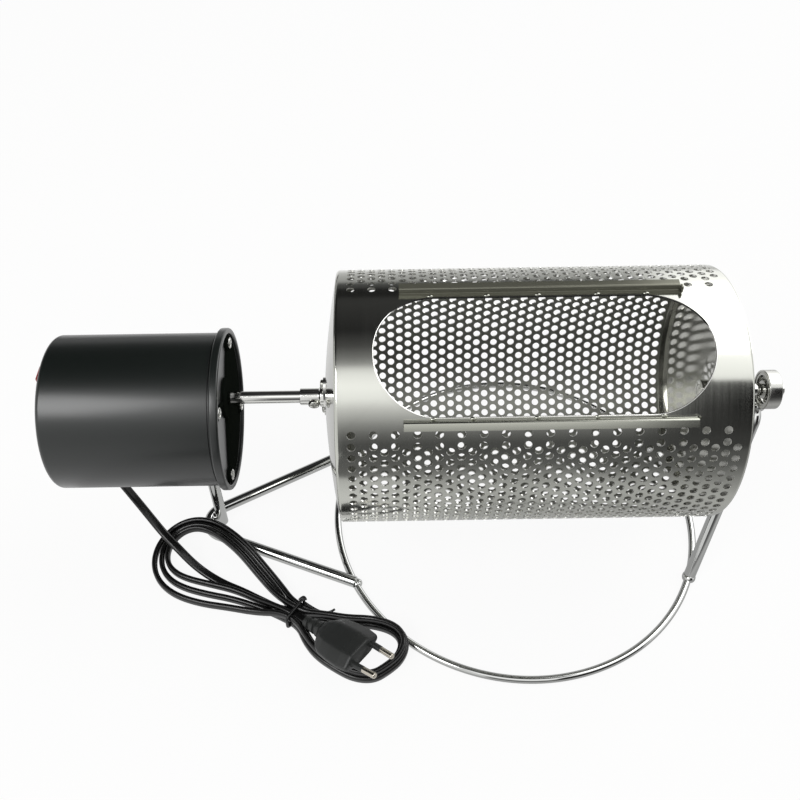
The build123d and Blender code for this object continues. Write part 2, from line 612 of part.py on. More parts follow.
def stations(turn_number):
    """Places of one turn: (turn, u, v, heading in u, heading in v, lift)."""
    found = []

    def lobe(part, centre, degrees, lift):
        turn = turn_number + part
        radius = centre[2] - HANK_PITCH * abs(middle - turn)
        angle = math.radians(degrees)
        found.append((turn, centre[0] + radius * math.cos(angle), centre[1] + radius * math.sin(angle),
                      -math.sin(angle), math.cos(angle), lift))

    def waist(part, side):
        turn = turn_number + part
        rank = math.floor(middle - abs(middle - turn))
        found.append((turn, 0.0, side * (WAIST_GAP + WAIST_STEP * rank), -side, 0.0, "waist"))

    waist(0.0, -1)
    lobe(0.125, RIGHT_LOBE, -90, "floor")
    lobe(0.25, RIGHT_LOBE, 0, "floor")
    lobe(0.375, RIGHT_LOBE, 90, "floor")
    waist(0.5, 1)
    lobe(0.625, LEFT_LOBE, 90, "arm")
    lobe(0.75, LEFT_LOBE, 180, "settle")
    lobe(0.875, LEFT_LOBE, 270, "floor")
    low, high = found[4], found[5]
    rise = (high[2] - low[2]) / (low[1] - high[1])
    slope = math.hypot(1, 2 * rise)
    found.insert(5, (turn_number + 0.5625, (low[1] + high[1]) / 2, (low[2] + high[2]) / 2,
                     -1 / slope, 2 * rise / slope, "run"))
    return found


places = []
for number in range(HANK_TURNS):
    places.extend(stations(number))
places.append((float(HANK_TURNS), 0.0, -WAIST_GAP, 1.0, 0.0, "waist"))
plug_turn = math.radians(PLUG_TURN)
places.append((float(HANK_TURNS), 7.0, -WAIST_GAP - 0.3, math.cos(plug_turn), math.sin(plug_turn), "plug"))

points = []
for turn, u, v, du, dv, lift in places:
    points.append(on_floor(u, v, REST_Z + LIFT[lift] + HANK_LAYER * layer(turn)))
headings = []
for index, (turn, u, v, du, dv, lift) in enumerate(places):
    flat = along * du + across * dv
    if index in (0, len(places) - 2):
        climb = 0.0
    elif index == len(places) - 1:
        climb = math.tan(math.radians(PLUG_PITCH))
    else:
        before, after = points[index - 1], points[index + 1]
        climb = (after.Z - before.Z) / ((points[index] - before).length + (after - points[index]).length)
    headings.append((flat + Vector(0, 0, climb)).normalized())

plug_axis = headings[-1]
plug_side = Vector(-plug_axis.Y, plug_axis.X, 0).normalized().rotate(Axis((0, 0, 0), plug_axis), PLUG_ROLL)
hank_start = points[0] - along * (CORD_D + 1.4)
hank_end = points[-1] + plug_axis * (CORD_D + 0.2)
edges = [Line(hank_start, points[0])]
hank_radii = []
for index in range(len(points) - 1):
    start, stop = points[index], points[index + 1]
    leave, arrive = headings[index], headings[index + 1]
    chord = stop - start
    both = leave + arrive
    spread = 2 * (1 - leave.dot(arrive))
    if spread < 1e-6:
        reach = chord.dot(chord) / (2 * chord.dot(both))
    else:
        reach = (math.sqrt(chord.dot(both)**2 + spread * chord.dot(chord)) - chord.dot(both)) / spread
    first, second = start + leave * reach, stop - arrive * reach
    joint = (first + second) * 0.5
    bend = (second - first).normalized()
    edges.append(TangentArc(start, joint, tangent=leave))
    edges.append(TangentArc(joint, stop, tangent=bend))
edges.append(Line(points[-1], hank_end))
hank_wire = Wire([edge for piece in edges for edge in piece.edges()])
for edge in hank_wire.edges():
    if edge.geom_type == GeomType.CIRCLE:
        hank_radii.append(edge.radius)
hank_section = Plane(hank_start, z_dir=along) * Circle(CORD_D / 2)
add("cord_hank", sweep(hank_section, path=hank_wire))

# Free lead from the gland to the hank
lead_points = [gland_end]
for corner in LEAD_POINTS:
    lead_points.append(Vector(*corner))
lead_points.append(hank_start - along * 8.0)
lead_points.append(hank_start)
lead_radii = []
for index in range(1, len(lead_points) - 1):
    back = lead_points[index] - lead_points[index - 1]
    ahead = lead_points[index + 1] - lead_points[index]
    half = math.radians(back.get_angle(ahead)) / 2
    lead_radii.append(0.45 * min(back.length, ahead.length) / math.tan(half))
lead_path = FilletPolyline(*lead_points, radius=lead_radii)
lead_section = Plane(gland_end, z_dir=lead_path % 0) * Circle(CORD_D / 2)
add("cord_lead", sweep(lead_section, path=lead_path))

# Wire tie around the waist, with its twisted tail
tie_plane = Plane(on_floor(0, 0, 0), x_dir=across, z_dir=along)
tie_loop = Pos(0, sum(TIE_Z) / 2) * RectangleRounded(2 * TIE_HALF_W, TIE_Z[1] - TIE_Z[0], 3.0)
tie_outline = tie_plane * tie_loop
tie_path = tie_outline.faces()[0].outer_wire()
tie_start = tie_path @ 0
tie = sweep(Plane(tie_start, z_dir=tie_path % 0) * Circle(TIE_R), path=tie_path)
tail_points = [on_floor(0, TIE_HALF_W, 9.2), on_floor(7, TIE_HALF_W + 0.8, 10.6),
               on_floor(15, TIE_HALF_W, 11.4), on_floor(23, TIE_HALF_W + 1.6, 10.8)]
tail_path = FilletPolyline(*tail_points, radius=8.0)
tail = sweep(Plane(tail_path @ 0, z_dir=tail_path % 0) * Circle(TIE_R), path=tail_path)
add("cord_tie", tie + tail)

# Two-pin plug at the end of the cord
def plug_section(distance, half_width, half_height, flat_half):
    """Eight-cornered section of the plug across its axis, flat above and below."""
    plane = Plane(hank_end + plug_axis * distance, x_dir=plug_side, z_dir=plug_axis)
    upper = [(half_width, PLUG_EDGE), (flat_half, half_height),
             (-flat_half, half_height), (-half_width, PLUG_EDGE)]
    lower = [(-x, -y) for x, y in upper]
    return plane * make_face(Polyline(*upper, *lower, close=True))


relief = Solid.make_cone(CORD_D / 2 + 0.5, RELIEF_R, RELIEF_L, plane=Plane(hank_end, z_dir=plug_axis))
add("plug_relief", Part(relief.wrapped))
sections = [plug_section(*sizes) for sizes in PLUG_SECTIONS]
plug = loft(sections[:2]) + loft(sections[1:3]) + loft(sections[2:])
pins = []
sleeves = []
for side in (-1, 1):
    foot = hank_end + plug_axis * PIN_FOOT + plug_side * (side * PIN_HALF_GAP)
    lean = (plug_axis - plug_side * (side * PIN_LEAN)).normalized()
    pin_end = Plane(foot + lean * SLEEVE_L, z_dir=lean)
    tip = Part(Solid.make_cylinder(PIN_R, PIN_L - SLEEVE_L, pin_end).wrapped)
    tip = fillet(tip.edges().sort_by_distance(foot + lean * PIN_L)[0], 1.0)
    core = Part(Solid.make_cylinder(PIN_CORE_R, SLEEVE_L, Plane(foot, z_dir=lean)).wrapped)
    sleeve = Part(Solid.make_cylinder(SLEEVE_R, SLEEVE_L, Plane(foot, z_dir=lean)).wrapped)
    pins.append(tip + core)
    sleeves.append(sleeve - core)
    plug = plug - sleeve
add("plug_body", plug)
add("plug_pins", *pins)
add("pin_sleeves", *sleeves)


def least_self_gap(wire, diameter):
    """Least clear gap between stretches of the cord that are not next to each other along it."""
    count = int(wire.length / 1.5)
    line = [wire @ (index / count) for index in range(count + 1)]
    step = wire.length / count
    skip = int(math.ceil(2.5 * diameter / step))
    best = 1e9
    for index in range(0, count + 1, 2):
        here = line[index]
        for other in range(index + skip, count + 1):
            if abs(here.X - line[other].X) < 8 and abs(here.Y - line[other].Y) < 8:
                best = min(best, (here - line[other]).length)
    return best - diameter


lead_volume = math.pi * CORD_D**2 / 4 * lead_path.length
hank_volume = math.pi * CORD_D**2 / 4 * hank_wire.length
print("cord radii: lead least", round(min(lead_radii), 1), "hank least", round(min(hank_radii), 1))
print("cord lengths: lead", round(lead_path.length, 1), "hank", round(hank_wire.length, 1))
print("volume over section x length: lead", round(parts["cord_lead"].volume / lead_volume, 4),
      "hank", round(parts["cord_hank"].volume / hank_volume, 4))
print("hank least self gap", round(least_self_gap(hank_wire, CORD_D), 2))

os.makedirs("parts", exist_ok=True)
for name, solid in parts.items():
    export_step(solid, "parts/" + name + ".step")
print(len(parts), "pieces")
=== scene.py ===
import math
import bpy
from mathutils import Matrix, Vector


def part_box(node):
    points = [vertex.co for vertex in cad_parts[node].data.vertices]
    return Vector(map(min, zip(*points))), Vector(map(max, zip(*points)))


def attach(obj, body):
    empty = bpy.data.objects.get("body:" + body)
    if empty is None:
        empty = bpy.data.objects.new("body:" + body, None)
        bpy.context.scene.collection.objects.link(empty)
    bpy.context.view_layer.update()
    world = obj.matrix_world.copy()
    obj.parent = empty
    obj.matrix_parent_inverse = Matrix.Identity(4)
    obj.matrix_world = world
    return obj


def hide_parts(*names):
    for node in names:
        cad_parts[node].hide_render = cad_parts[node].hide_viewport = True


bl_info = {
    "name": "Drum coffee roaster",
    "version": (1, 0, 0),
    "blender": (4, 5, 0),
    "location": "View3D > Sidebar > Roaster",
    "description": "Dresses the frame of an electric drum coffee roaster with its finished surfaces",
    "category": "Object",
}

import bmesh
import bpy
import numpy as np
from bpy.props import FloatProperty, FloatVectorProperty, IntProperty, PointerProperty
from mathutils import Matrix

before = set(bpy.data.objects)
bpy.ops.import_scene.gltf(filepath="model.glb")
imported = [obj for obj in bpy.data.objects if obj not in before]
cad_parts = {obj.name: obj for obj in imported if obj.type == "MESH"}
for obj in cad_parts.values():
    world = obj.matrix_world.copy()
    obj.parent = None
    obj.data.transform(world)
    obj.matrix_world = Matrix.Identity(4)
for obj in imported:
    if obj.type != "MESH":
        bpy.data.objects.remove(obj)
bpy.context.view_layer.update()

MM = 0.001
X_AXIS, Y_AXIS, Z_AXIS = np.eye(3)
# Lowest place that a point may have
FLOOR = (-np.inf, -np.inf, 0.0)
IMAGE_SIDE = 800.0
WHITE = (1.0, 1.0, 1.0, 1.0)
SHADER = "Principled BSDF"


def box(node):
    """Lowest and highest corner of a frame node as arrays, in metres."""
    low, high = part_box(node)
    return np.array(low, float), np.array(high, float)


SHELL_LOW, SHELL_HIGH = box("drum_shell")
DRUM_R = (SHELL_HIGH[2] - SHELL_LOW[2]) / 2
AXIS_Z = (SHELL_HIGH[2] + SHELL_LOW[2]) / 2
ON_AXIS = AXIS_Z * Z_AXIS
CAN_LOW, CAN_HIGH = box("motor_housing")
CAN_R = (CAN_HIGH[1] - CAN_LOW[1]) / 2
CAN_Z = (CAN_HIGH[2] + CAN_LOW[2]) / 2
ON_CAN = CAN_Z * Z_AXIS
SHAFT_R = 4.0 * MM


def linear(code):
    """Linear colour with alpha from an sRGB hex value, by the sRGB curve."""
    levels = np.array([int(code[i:i + 2], 16) for i in (1, 3, 5)]) / 255
    low = levels / 12.92
    high = ((levels + 0.055) / 1.055) ** 2.4
    return (*np.where(levels <= 0.04045, low, high).tolist(), 1.0)


def length(name, description, millimetres):
    """Length property with its default in millimetres."""
    return FloatProperty(name=name, description=description, default=millimetres * MM, subtype="DISTANCE",
                         unit="LENGTH")


def turn(name, description, degrees):
    """Angle property."""
    return FloatProperty(name=name, description=description, default=math.radians(degrees), subtype="ANGLE",
                         unit="ROTATION")


def colour(name, description, code):
    """Colour property with an sRGB hex default."""
    return FloatVectorProperty(name=name, description=description, default=linear(code), size=4,
                               subtype="COLOR", min=0.0, max=1.0)


class RoasterDrum(bpy.types.PropertyGroup):
    """Sizes and colours of the drum."""

    sheet: length("Sheet", "Thickness of the rolled sheet", 1.0)
    hole: length("Hole", "Diameter of one perforation", 4.8)
    column_step: length("Column step", "Distance between columns of holes along the drum", 6.09)
    row_step: turn("Row step", "Angle between holes round the drum", 5.053)
    columns: IntProperty(name="Columns", description="Columns of holes along the drum", default=36)
    rows: IntProperty(name="Rows", description="Holes in an even column", default=59)
    first_column: length("First column", "Distance of the first column from the rim", 9.1)
    first_row: turn("First row", "Drum angle of the first hole, up from the front", 98.6)
    hatch_length: length("Hatch length", "Length of the hatch", 189.0)
    hatch_width: length("Hatch width", "Width of the hatch across its straight edges", 71.8)
    hatch_x: length("Hatch place", "Middle of the hatch along the drum", 69.0)
    hatch_angle: turn("Hatch angle", "Drum angle of the middle of the hatch, up from the front", 65.3)
    curl: length("Curl", "Radius of the turned-in edge at each end of the sheet", 2.2)
    sheet_colour: colour("Sheet colour", "Bright stainless sheet", "#c6c7c0")
    # Painted shade: the inner face is a darker copy of the sheet's colour
    shaded_inside_colour: colour("Inner colour", "Inner face of the sheet", "#85867f")
    # Painted highlight: the cut edges are a brighter copy of the sheet's colour
    highlit_edge_colour: colour("Edge colour", "Cut edge of the sheet", "#e8e8e4")
    plate_colour: colour("End colour", "Spun stainless end plate", "#c2c2bc")
    rail_colour: colour("Lower rail colour", "Rolled steel rail, bright with use", "#a2a39a")
    # Painted shade: the upper rail is a darker copy of the rail steel
    shaded_rail_colour: colour("Upper rail colour", "Rolled steel rail, darkened as painted shade", "#717165")


class RoasterStand(bpy.types.PropertyGroup):
    """Sizes and colours of the stand."""

    rod: length("Rod", "Diameter of the bent rod", 8.0)
    ring_wire: length("Ring wire", "Diameter of the ring's wire", 5.0)
    arm_bend: length("Arm bend", "Bend radius of the arms", 13.0)
    arm_x: length("Bend place", "Centre of the arms' bend along the drum", -136.2)
    arm_y: length("Bend offset", "Centre of the arms' bend behind the drum axis", -4.8)
    arm_half: turn("Arm angle", "Half the angle between the arms", 25.4)
    arm_turn: turn("Arm turn", "Turn of the pair of arms about the upright", 3.3)
    leg_bend: length("Leg bend", "Bend radius of the legs", 10.0)
    chrome_colour: colour("Chrome", "Chromium plate on rod and wire", "#c9cac8")
    bearing_colour: colour("Bearing", "Ground bearing steel", "#b9b9b5")


class RoasterMotor(bpy.types.PropertyGroup):
    """Sizes and colours of the motor, its cover and its switch."""

    corner: length("Can corner", "Radius round the closed end of the can", 6.0)
    pressed: length("Pressed end", "Height of the flat that is pressed out of the can's end", 1.5)
    flat: length("Pressed flat", "Radius of that flat", 38.5)
    rim: length("Cover rim", "Width of the raised rim of the cover", 3.5)
    recess: length("Cover recess", "Depth of the cover inside its rim", 3.0)
    paint_colour: colour("Can paint", "Black enamel", "#0e1412")
    cover_colour: colour("Cover", "Black cast cover", "#161916")
    rocker_colour: colour("Rocker", "Red switch rocker", "#9c1218")


class RoasterCord(bpy.types.PropertyGroup):
    """Sizes and colours of the lead and its plug."""

    width: length("Width", "Width of the flat flex", 6.0)
    thickness: length("Thickness", "Thickness of the flat flex", 3.8)
    flex_colour: colour("Flex", "Black PVC flex", "#0b0b0b")
    plug_colour: colour("Plug", "Black moulded plug", "#242625")
    pin_colour: colour("Pins", "Nickel-plated pins", "#c4beb2")


class RoasterStage(bpy.types.PropertyGroup):
    """Camera and light."""

    focal: FloatProperty(name="Focal length", description="In pixels of the 800 pixel image", default=881.0)
    distance: length("Distance", "From the lens to the drum axis", 558.4)
    elevation: turn("Elevation", "Of the lens above the drum axis", 47.80)
    roll: turn("Roll", "Of the camera about its view", -0.884)
    camera_x: length("Camera place", "Of the lens along the drum", -21.0)
    centre_u: FloatProperty(name="Centre u", description="Lens axis in pixels from the left", default=381.1)
    centre_v: FloatProperty(name="Centre v", description="Lens axis in pixels from the top", default=395.4)
    floor_colour: colour("Floor", "White paper floor", "#f4f4f2")


def unit(vectors):
    """Vectors scaled to length one."""
    vectors = np.asarray(vectors, float)
    return vectors / np.linalg.norm(vectors, axis=-1, keepdims=True)


def circle(count):
    """Angles spread evenly over a full turn."""
    return np.linspace(0, 2 * math.pi, count, endpoint=False)


def radial(degrees):
    """Unit vector square to the drum axis, at an angle up from the back."""
    angle = math.radians(degrees)
    return np.array([0.0, math.cos(angle), math.sin(angle)])


def heading(angle):
    """Level unit vector at an angle from the drum axis."""
    return np.array([math.cos(angle), math.sin(angle), 0.0])


def across(axis):
    """Two unit vectors square to an axis and to each other, the first level unless the axis is steep."""
    axis = unit(axis)
    side = unit(np.cross(Z_AXIS if abs(axis[2]) < 0.9 else X_AXIS, axis))
    return side, np.cross(axis, side)


def grid(points, close_u=False, close_v=False):
    """Quads over a grid of points: each cell joins its four corners; an index wraps where it is closed."""
    rows, columns = points.shape[:2]
    i, j = np.meshgrid(np.arange(rows if close_u else rows - 1),
                       np.arange(columns if close_v else columns - 1), indexing="ij")
    after_i = (i + 1) % rows
    after_j = (j + 1) % columns
    corners = (i * columns + j, after_i * columns + j, after_i * columns + after_j, i * columns + after_j)
    return points.reshape(-1, 3), np.stack(corners, -1).reshape(-1, 4)


def capped(rings):
    """Quads over a row of closed rings, with the first and last ring closed at their middle."""
    ends = rings[[0, -1]].mean(1, keepdims=True) * np.ones_like(rings[:2])
    return grid(np.concatenate([ends[:1], rings, ends[1:]]), close_v=True)


def lathe(profile, origin, axis=X_AXIS, segments=96):
    """Turned surface: point (i, j) lies x_i along the axis and r_i from it, at angle t_j round it."""
    x, r = np.asarray(profile, float).T
    side, top = across(axis)
    t = circle(segments)[:, None]
    rim = np.cos(t) * side + np.sin(t) * top
    points = np.asarray(origin) + x[:, None, None] * unit(axis) + r[:, None, None] * rim
    return grid(points, close_v=True)


def ring_lathe(profile, origin, axis=X_AXIS, segments=96):
    """Turned ring: as a lathe, with the profile closed on itself."""
    profile = np.asarray(profile, float)
    return lathe(np.concatenate([profile, profile[:1]]), origin, axis, segments)


def rounded(corners, radius, steps=5):
    """Outline with each inner corner as an arc: its points run from one tangent point to the other."""
    corners = np.asarray(corners, float)
    radius = np.broadcast_to(np.asarray(radius, float), len(corners))
    # A corner that is almost straight stays as it is, and an arc takes less than half of a run
    straight, most = math.radians(89.5), 0.49
    share = np.linspace(0, 1, steps + 1)[:, None]
    outline = [corners[:1]]
    for before, corner, after, r in zip(corners[:-2], corners[1:-1], corners[2:], radius[1:-1]):
        to_before, to_after = unit(before - corner), unit(after - corner)
        half = math.acos(np.clip(to_before @ to_after, -1, 1)) / 2
        if r <= 0 or half > straight:
            outline.append(corner[None])
            continue
        reach = min(r / math.tan(half), most * np.linalg.norm(before - corner),
                    most * np.linalg.norm(after - corner))
        r = reach * math.tan(half)
        centre = corner + unit(to_before + to_after) * (r / math.sin(half))
        first, last = corner + to_before * reach - centre, corner + to_after * reach - centre
        outline.append(centre + unit(first * (1 - share) + last * share) * r)
    outline.append(corners[-1:])
    return np.concatenate(outline)


def bar(start, end, radius, edge, bore=0.0, steps=5):
    """Profile of a round bar, or of a ring round a bore, from start to end with its edges rounded."""
    return rounded([(start, bore), (start, radius), (end, radius), (end, bore)], edge, steps)


def pipe(path, radius, up=Z_AXIS, sides=28, closed=False):
    """Round bar: a circle carried along the path, square to it, with its ends closed at the middle."""
    path = np.asarray(path, float)
    radius = np.broadcast_to(np.asarray(radius, float), len(path))[:, None]
    ahead = unit(np.roll(path, -1, 0) - np.roll(path, 1, 0) if closed else np.gradient(path, axis=0))
    side = unit(np.cross(ahead, up))
    top = np.cross(side, ahead)
    t = circle(sides)[:, None, None]
    rings = np.swapaxes(path + radius * (np.cos(t) * side + np.sin(t) * top), 0, 1)
    return grid(rings, True, True) if closed else capped(rings)


def prism(outline, origin, side, top, depth):
    """Straight bar of a closed outline: points at (a, b) lie along side and top, at both ends of depth."""
    outline = np.asarray(outline, float)
    ring = np.asarray(origin) + outline[:, :1] * side + outline[:, 1:] * top
    return capped(np.stack([ring, ring + depth]))


def ball(rings, segments):
    """Unit ball: point (i, j) lies at angle u_i from the pole and t_j round it. Gives u, t and the points."""
    u = np.linspace(0, math.pi, rings)[:, None]
    t = circle(segments)
    return u, t, np.stack([np.sin(u) * np.cos(t), np.sin(u) * np.sin(t), np.cos(u) + 0 * t], -1)


def add_object(name, data):
    """New object in the scene."""
    obj = bpy.data.objects.new(name, data)
    bpy.context.scene.collection.objects.link(obj)
    return obj


def evaluated(obj):
    """New mesh of an object with its modifiers applied or its curve drawn out."""
    bpy.context.view_layer.update()
    return bpy.data.meshes.new_from_object(obj.evaluated_get(bpy.context.evaluated_depsgraph_get()))


def shade(mesh, sharp):
    """Smooth shading that keeps edges above an angle, in degrees, crisp."""
    mesh.shade_smooth()
    mesh.set_sharp_from_angle(angle=math.radians(sharp))


def piece(name, shells, body, material, nodes=(), sharp=35.0, turned_out=True):
    """Object of one or more shells, with doubles merged and edges above the angle kept crisp."""
    starts = np.cumsum([0] + [len(points) for points, _ in shells])
    points = np.concatenate([points for points, _ in shells])
    faces = np.concatenate([faces + start for (_, faces), start in zip(shells, starts)])
    mesh = bpy.data.meshes.new(name)
    mesh.from_pydata(points, [], faces.tolist())
    work = bmesh.new()
    work.from_mesh(mesh)
    bmesh.ops.remove_doubles(work, verts=work.verts, dist=1e-6)
    bmesh.ops.dissolve_degenerate(work, dist=1e-7, edges=work.edges)
    if turned_out:
        bmesh.ops.recalc_face_normals(work, faces=work.faces)
    work.to_mesh(mesh)
    work.free()
    shade(mesh, sharp)
    mesh.materials.append(material)
    obj = add_object(name, mesh)
    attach(obj, body)
    if nodes:
        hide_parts(*nodes)
    return obj


def dress(material, *nodes):
    """Give frame nodes that keep their own shape a finish."""
    for node in nodes:
        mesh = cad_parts[node].data
        mesh.materials.clear()
        mesh.materials.append(material)


def add_node(tree, kind, inputs=None, **settings):
    """Shader node of a kind with its settings; an input is a value or the socket that feeds it."""
    node = tree.nodes.new("ShaderNode" + kind)
    for key, value in settings.items():
        setattr(node, key, value)
    for socket, value in (inputs or {}).items():
        if isinstance(value, bpy.types.NodeSocket):
            tree.links.new(value, node.inputs[socket])
        else:
            node.inputs[socket].default_value = value
    return node


def feed(tree, node, socket, output):
    """Link an output to an input of a node that the tree has from the start."""
    tree.links.new(output, tree.nodes[node].inputs[socket])


def grain(tree, scale, strength, depth, detail=2.0):
    """Relief from noise on Object coordinates, with its own scale along each axis in grains per metre."""
    place = add_node(tree, "TexCoord")
    stretch = add_node(tree, "Mapping", {"Vector": place.outputs["Object"], "Scale": scale})
    noise = add_node(tree, "TexNoise",
                     {"Vector": stretch.outputs["Vector"], "Scale": 1.0, "Detail": detail})
    relief = add_node(tree, "Bump",
                      {"Height": noise.outputs["Fac"], "Strength": strength, "Distance": depth})
    feed(tree, SHADER, "Normal", relief.outputs["Normal"])
    return noise


def finish(name, tint, metallic, roughness, tooth=None, **sockets):
    """Principled material with plain values, and the grain of its tooth: scale, strength and depth."""
    material = bpy.data.materials.new(name)
    material.use_nodes = True
    inputs = material.node_tree.nodes[SHADER].inputs
    values = dict(sockets, Base_Color=tint, Metallic=metallic, Roughness=roughness)
    for socket, value in values.items():
        inputs[socket.replace("_", " ")].default_value = value
    if tooth:
        grain(material.node_tree, *tooth)
    return material


def brushed_sheet(tint):
    """Bright stainless sheet: a clear mirror that fine lines round the drum draw out a little along it."""
    material = finish("bright stainless sheet", tint, 1.0, 0.14)
    tree = material.node_tree
    noise = grain(tree, (800.0, 12.0, 12.0), 0.10, 0.05 * MM, 4.0)
    spread = add_node(tree, "MapRange",
                      {"Value": noise.outputs["Fac"], "To Min": 0.10, "To Max": 0.18})
    feed(tree, SHADER, "Roughness", spread.outputs["Result"])
    return material


def sheet_edge(tint, top):
    """Dressed edge of the sheet: a thin line round the hatch, painted bright as a highlight and darkened
    along its top as painted shade, and further down towards the bearing."""
    material = finish("bright cut edge", tint, 1.0, 0.25)
    tree = material.node_tree
    # Painted shade: the edge's colour darkens towards its top, and starts lower further along the drum
    slant, painted_shade_level = 0.0132, 0.04
    place = add_node(tree, "TexCoord")
    height = add_node(tree, "VectorMath", {0: place.outputs["Object"], 1: (slant, 0.0, 1.0)},
                      operation="DOT_PRODUCT")
    unshaded_share = add_node(tree, "MapRange", {
        "Value": height.outputs["Value"], "From Min": top - 0.35 * MM, "From Max": top - 0.05 * MM,
        "To Min": 1.0, "To Max": painted_shade_level})
    tone = add_node(tree, "HueSaturation",
                    {"Value": unshaded_share.outputs["Result"], "Color": tint})
    feed(tree, SHADER, "Base Color", tone.outputs["Color"])
    return material


def rolled_steel(name, tint, metallic):
    """Cold-rolled strip: a soft mirror with a slight olive tone, a little uneven along the strip; its darker,
    less metallic copy on the upper rail is painted shade."""
    return finish(name, tint, metallic, 0.18, ((200.0, 900.0, 900.0), 0.05, 0.05 * MM))


def bare_metal(name, tint, roughness):
    """Plated, turned or ground metal: a mirror whose reflections soften with its roughness."""
    return finish(name, tint, 1.0, roughness)


def moulded(name, tint, roughness, tooth=0.06):
    """Moulded plastic or rubber: even colour with a fine moulded tooth."""
    return finish(name, tint, 0.0, roughness, tooth and ((2200.0,) * 3, tooth, 0.05 * MM))


def at_drum(x, angle, radius):
    """Points at a place along the drum, a drum angle up from the front, and a radius."""
    x, angle, radius = np.broadcast_arrays(x, angle, radius)
    return np.stack([x, -radius * np.cos(angle), AXIS_Z + radius * np.sin(angle)], -1)


class ROASTER_OT_drum_sheet(bpy.types.Operator):
    """Perforated drum sheet with its hatch"""

    bl_idname = "roaster.drum_sheet"
    bl_label = "Drum sheet"

    def execute(self, context):
        """Tile the sheet in cells of one hole each, and close it round the hatch with a ring of quads."""
        s = context.scene.roaster_drum
        x0, x1 = SHELL_LOW[0], SHELL_HIGH[0]
        step, row = s.column_step, s.row_step
        shells = []

        def patch(xs, angles, drop=0.0):
            """Plain grid of places along the drum and drum angles, each place sunk by its drop."""
            radius = DRUM_R - np.broadcast_to(drop, len(xs))
            shells.append(grid(at_drum(xs[:, None], angles, radius[:, None])))

        # Cells: a ring of quads between the hole and the border, which is given in quarters of a cell
        column_x = x0 + s.first_column + np.arange(s.columns) * step
        even = [(x, s.first_row + r * row) for x in column_x[::2] for r in range(s.rows)]
        odd = [(x, s.first_row + (r + 1.5) * row) for x in column_x[1::2] for r in range(s.rows - 3)]
        centres = np.array(even + odd)[:, None]
        border = np.array([(2, 0), (2, 1), (2, 2), (0, 2), (-2, 2), (-2, 1), (-2, 0), (-2, -1), (-2, -2),
                           (0, -2), (2, -2), (2, -1)]) / 4
        count = len(border)
        t = circle(count)
        hole = np.stack([np.cos(t), np.sin(t) / DRUM_R], -1) * (s.hole / 2)
        cells = np.stack([hole + centres, border * (step, row) + centres], 1)
        points = at_drum(cells[..., 0], cells[..., 1], DRUM_R)
        first = np.arange(len(points))[:, None, None] * 2 * count
        quads = grid(points[0], close_v=True)[1] + first
        shells.append((points.reshape(-1, 3), quads.reshape(-1, 4)))

        # Plain ends of the odd columns, then the turned-in edges of the sheet
        bottom = s.first_row - row / 2
        top = bottom + s.rows * row
        plain = np.arange(7) * row / 4
        for x in column_x[1::2]:
            xs = x + np.array([-0.5, 0.0, 0.5]) * step
            patch(xs, bottom + plain)
            patch(xs, top - plain[::-1])
        band = np.linspace(top - 2 * math.pi, bottom, 49)
        circuit = np.concatenate([bottom + np.arange(s.rows * 4) * row / 4, band + 2 * math.pi])
        edge_low, edge_high = column_x[0] - step / 2, column_x[-1] + step / 2
        bent = np.linspace(math.radians(65), 0, 8)
        turned_in = s.curl * (math.sin(bent[0]) - np.sin(bent))
        drop = np.append(s.curl * (1 - np.cos(bent)), 0.0)
        patch(np.append(x0 + turned_in, edge_low), circuit, drop)
        patch(np.append(x1 - turned_in, edge_high)[::-1], circuit, drop[::-1])

        # Plain band round the hatch, drawn in the plane of the hatch from its edge to the cells
        xs = np.linspace(edge_low, edge_high, 2 * s.columns + 1)
        sides = ((xs[:-1], band[0]), (edge_high, band[:-1]), (xs[:0:-1], band[-1]), (edge_low, band[:0:-1]))
        outer = np.concatenate([np.stack(np.broadcast_arrays(x, angle), -1) for x, angle in sides])
        half = s.hatch_width / 2
        reach = s.hatch_length / 2 - half
        along = np.clip(outer[:, 0], s.hatch_x - reach, s.hatch_x + reach)
        middle = np.stack([along, 0 * along], -1)
        chord = np.stack([outer[:, 0], DRUM_R * np.sin(outer[:, 1] - s.hatch_angle)], -1)
        inner = middle + unit(chord - middle) * half
        share = np.linspace(0, 1, 9)[:, None, None]
        between = inner * (1 - share) + chord * share
        between[..., 1] = s.hatch_angle + np.arcsin(between[..., 1] / DRUM_R)
        between[-1] = outer
        shells.append(grid(at_drum(between[..., 0], between[..., 1], DRUM_R), close_v=True))

        obj = piece("drum_sheet", shells, "drum", brushed_sheet(s.sheet_colour), ["drum_shell"],
                    turned_out=False)
        # Painted shade: the inside is a darker, duller copy of the sheet, so that the holes stand out; painted
        # highlight: bright walls, so that each hole has a light lip
        obj.data.materials.append(finish("shaded inner sheet", s.shaded_inside_colour, 0.7, 0.34))
        obj.data.materials.append(finish("highlit punched wall", s.highlit_edge_colour, 1.0, 0.30))
        wall = obj.modifiers.new("sheet", "SOLIDIFY")
        wall.thickness = s.sheet
        wall.offset = -1.0
        wall.material_offset = 1
        wall.material_offset_rim = 2
        mesh = evaluated(obj)
        obj.modifiers.clear()
        shade(mesh, 30.0)
        obj.data = mesh

        edge = at_drum(between[0, :, 0], between[0, :, 1], DRUM_R - s.sheet / 2)
        outward = unit((0.0, -math.cos(s.hatch_angle), math.sin(s.hatch_angle)))
        bead_r = 0.55 * s.sheet
        # Painted highlight and painted shade: the edge bead is a brighter copy of the sheet, darkened along its
        # top
        piece("hatch_edge", [pipe(edge, bead_r, up=outward, sides=12, closed=True)], "drum",
              sheet_edge(s.highlit_edge_colour, edge[:, 2].max()))
        return {"FINISHED"}


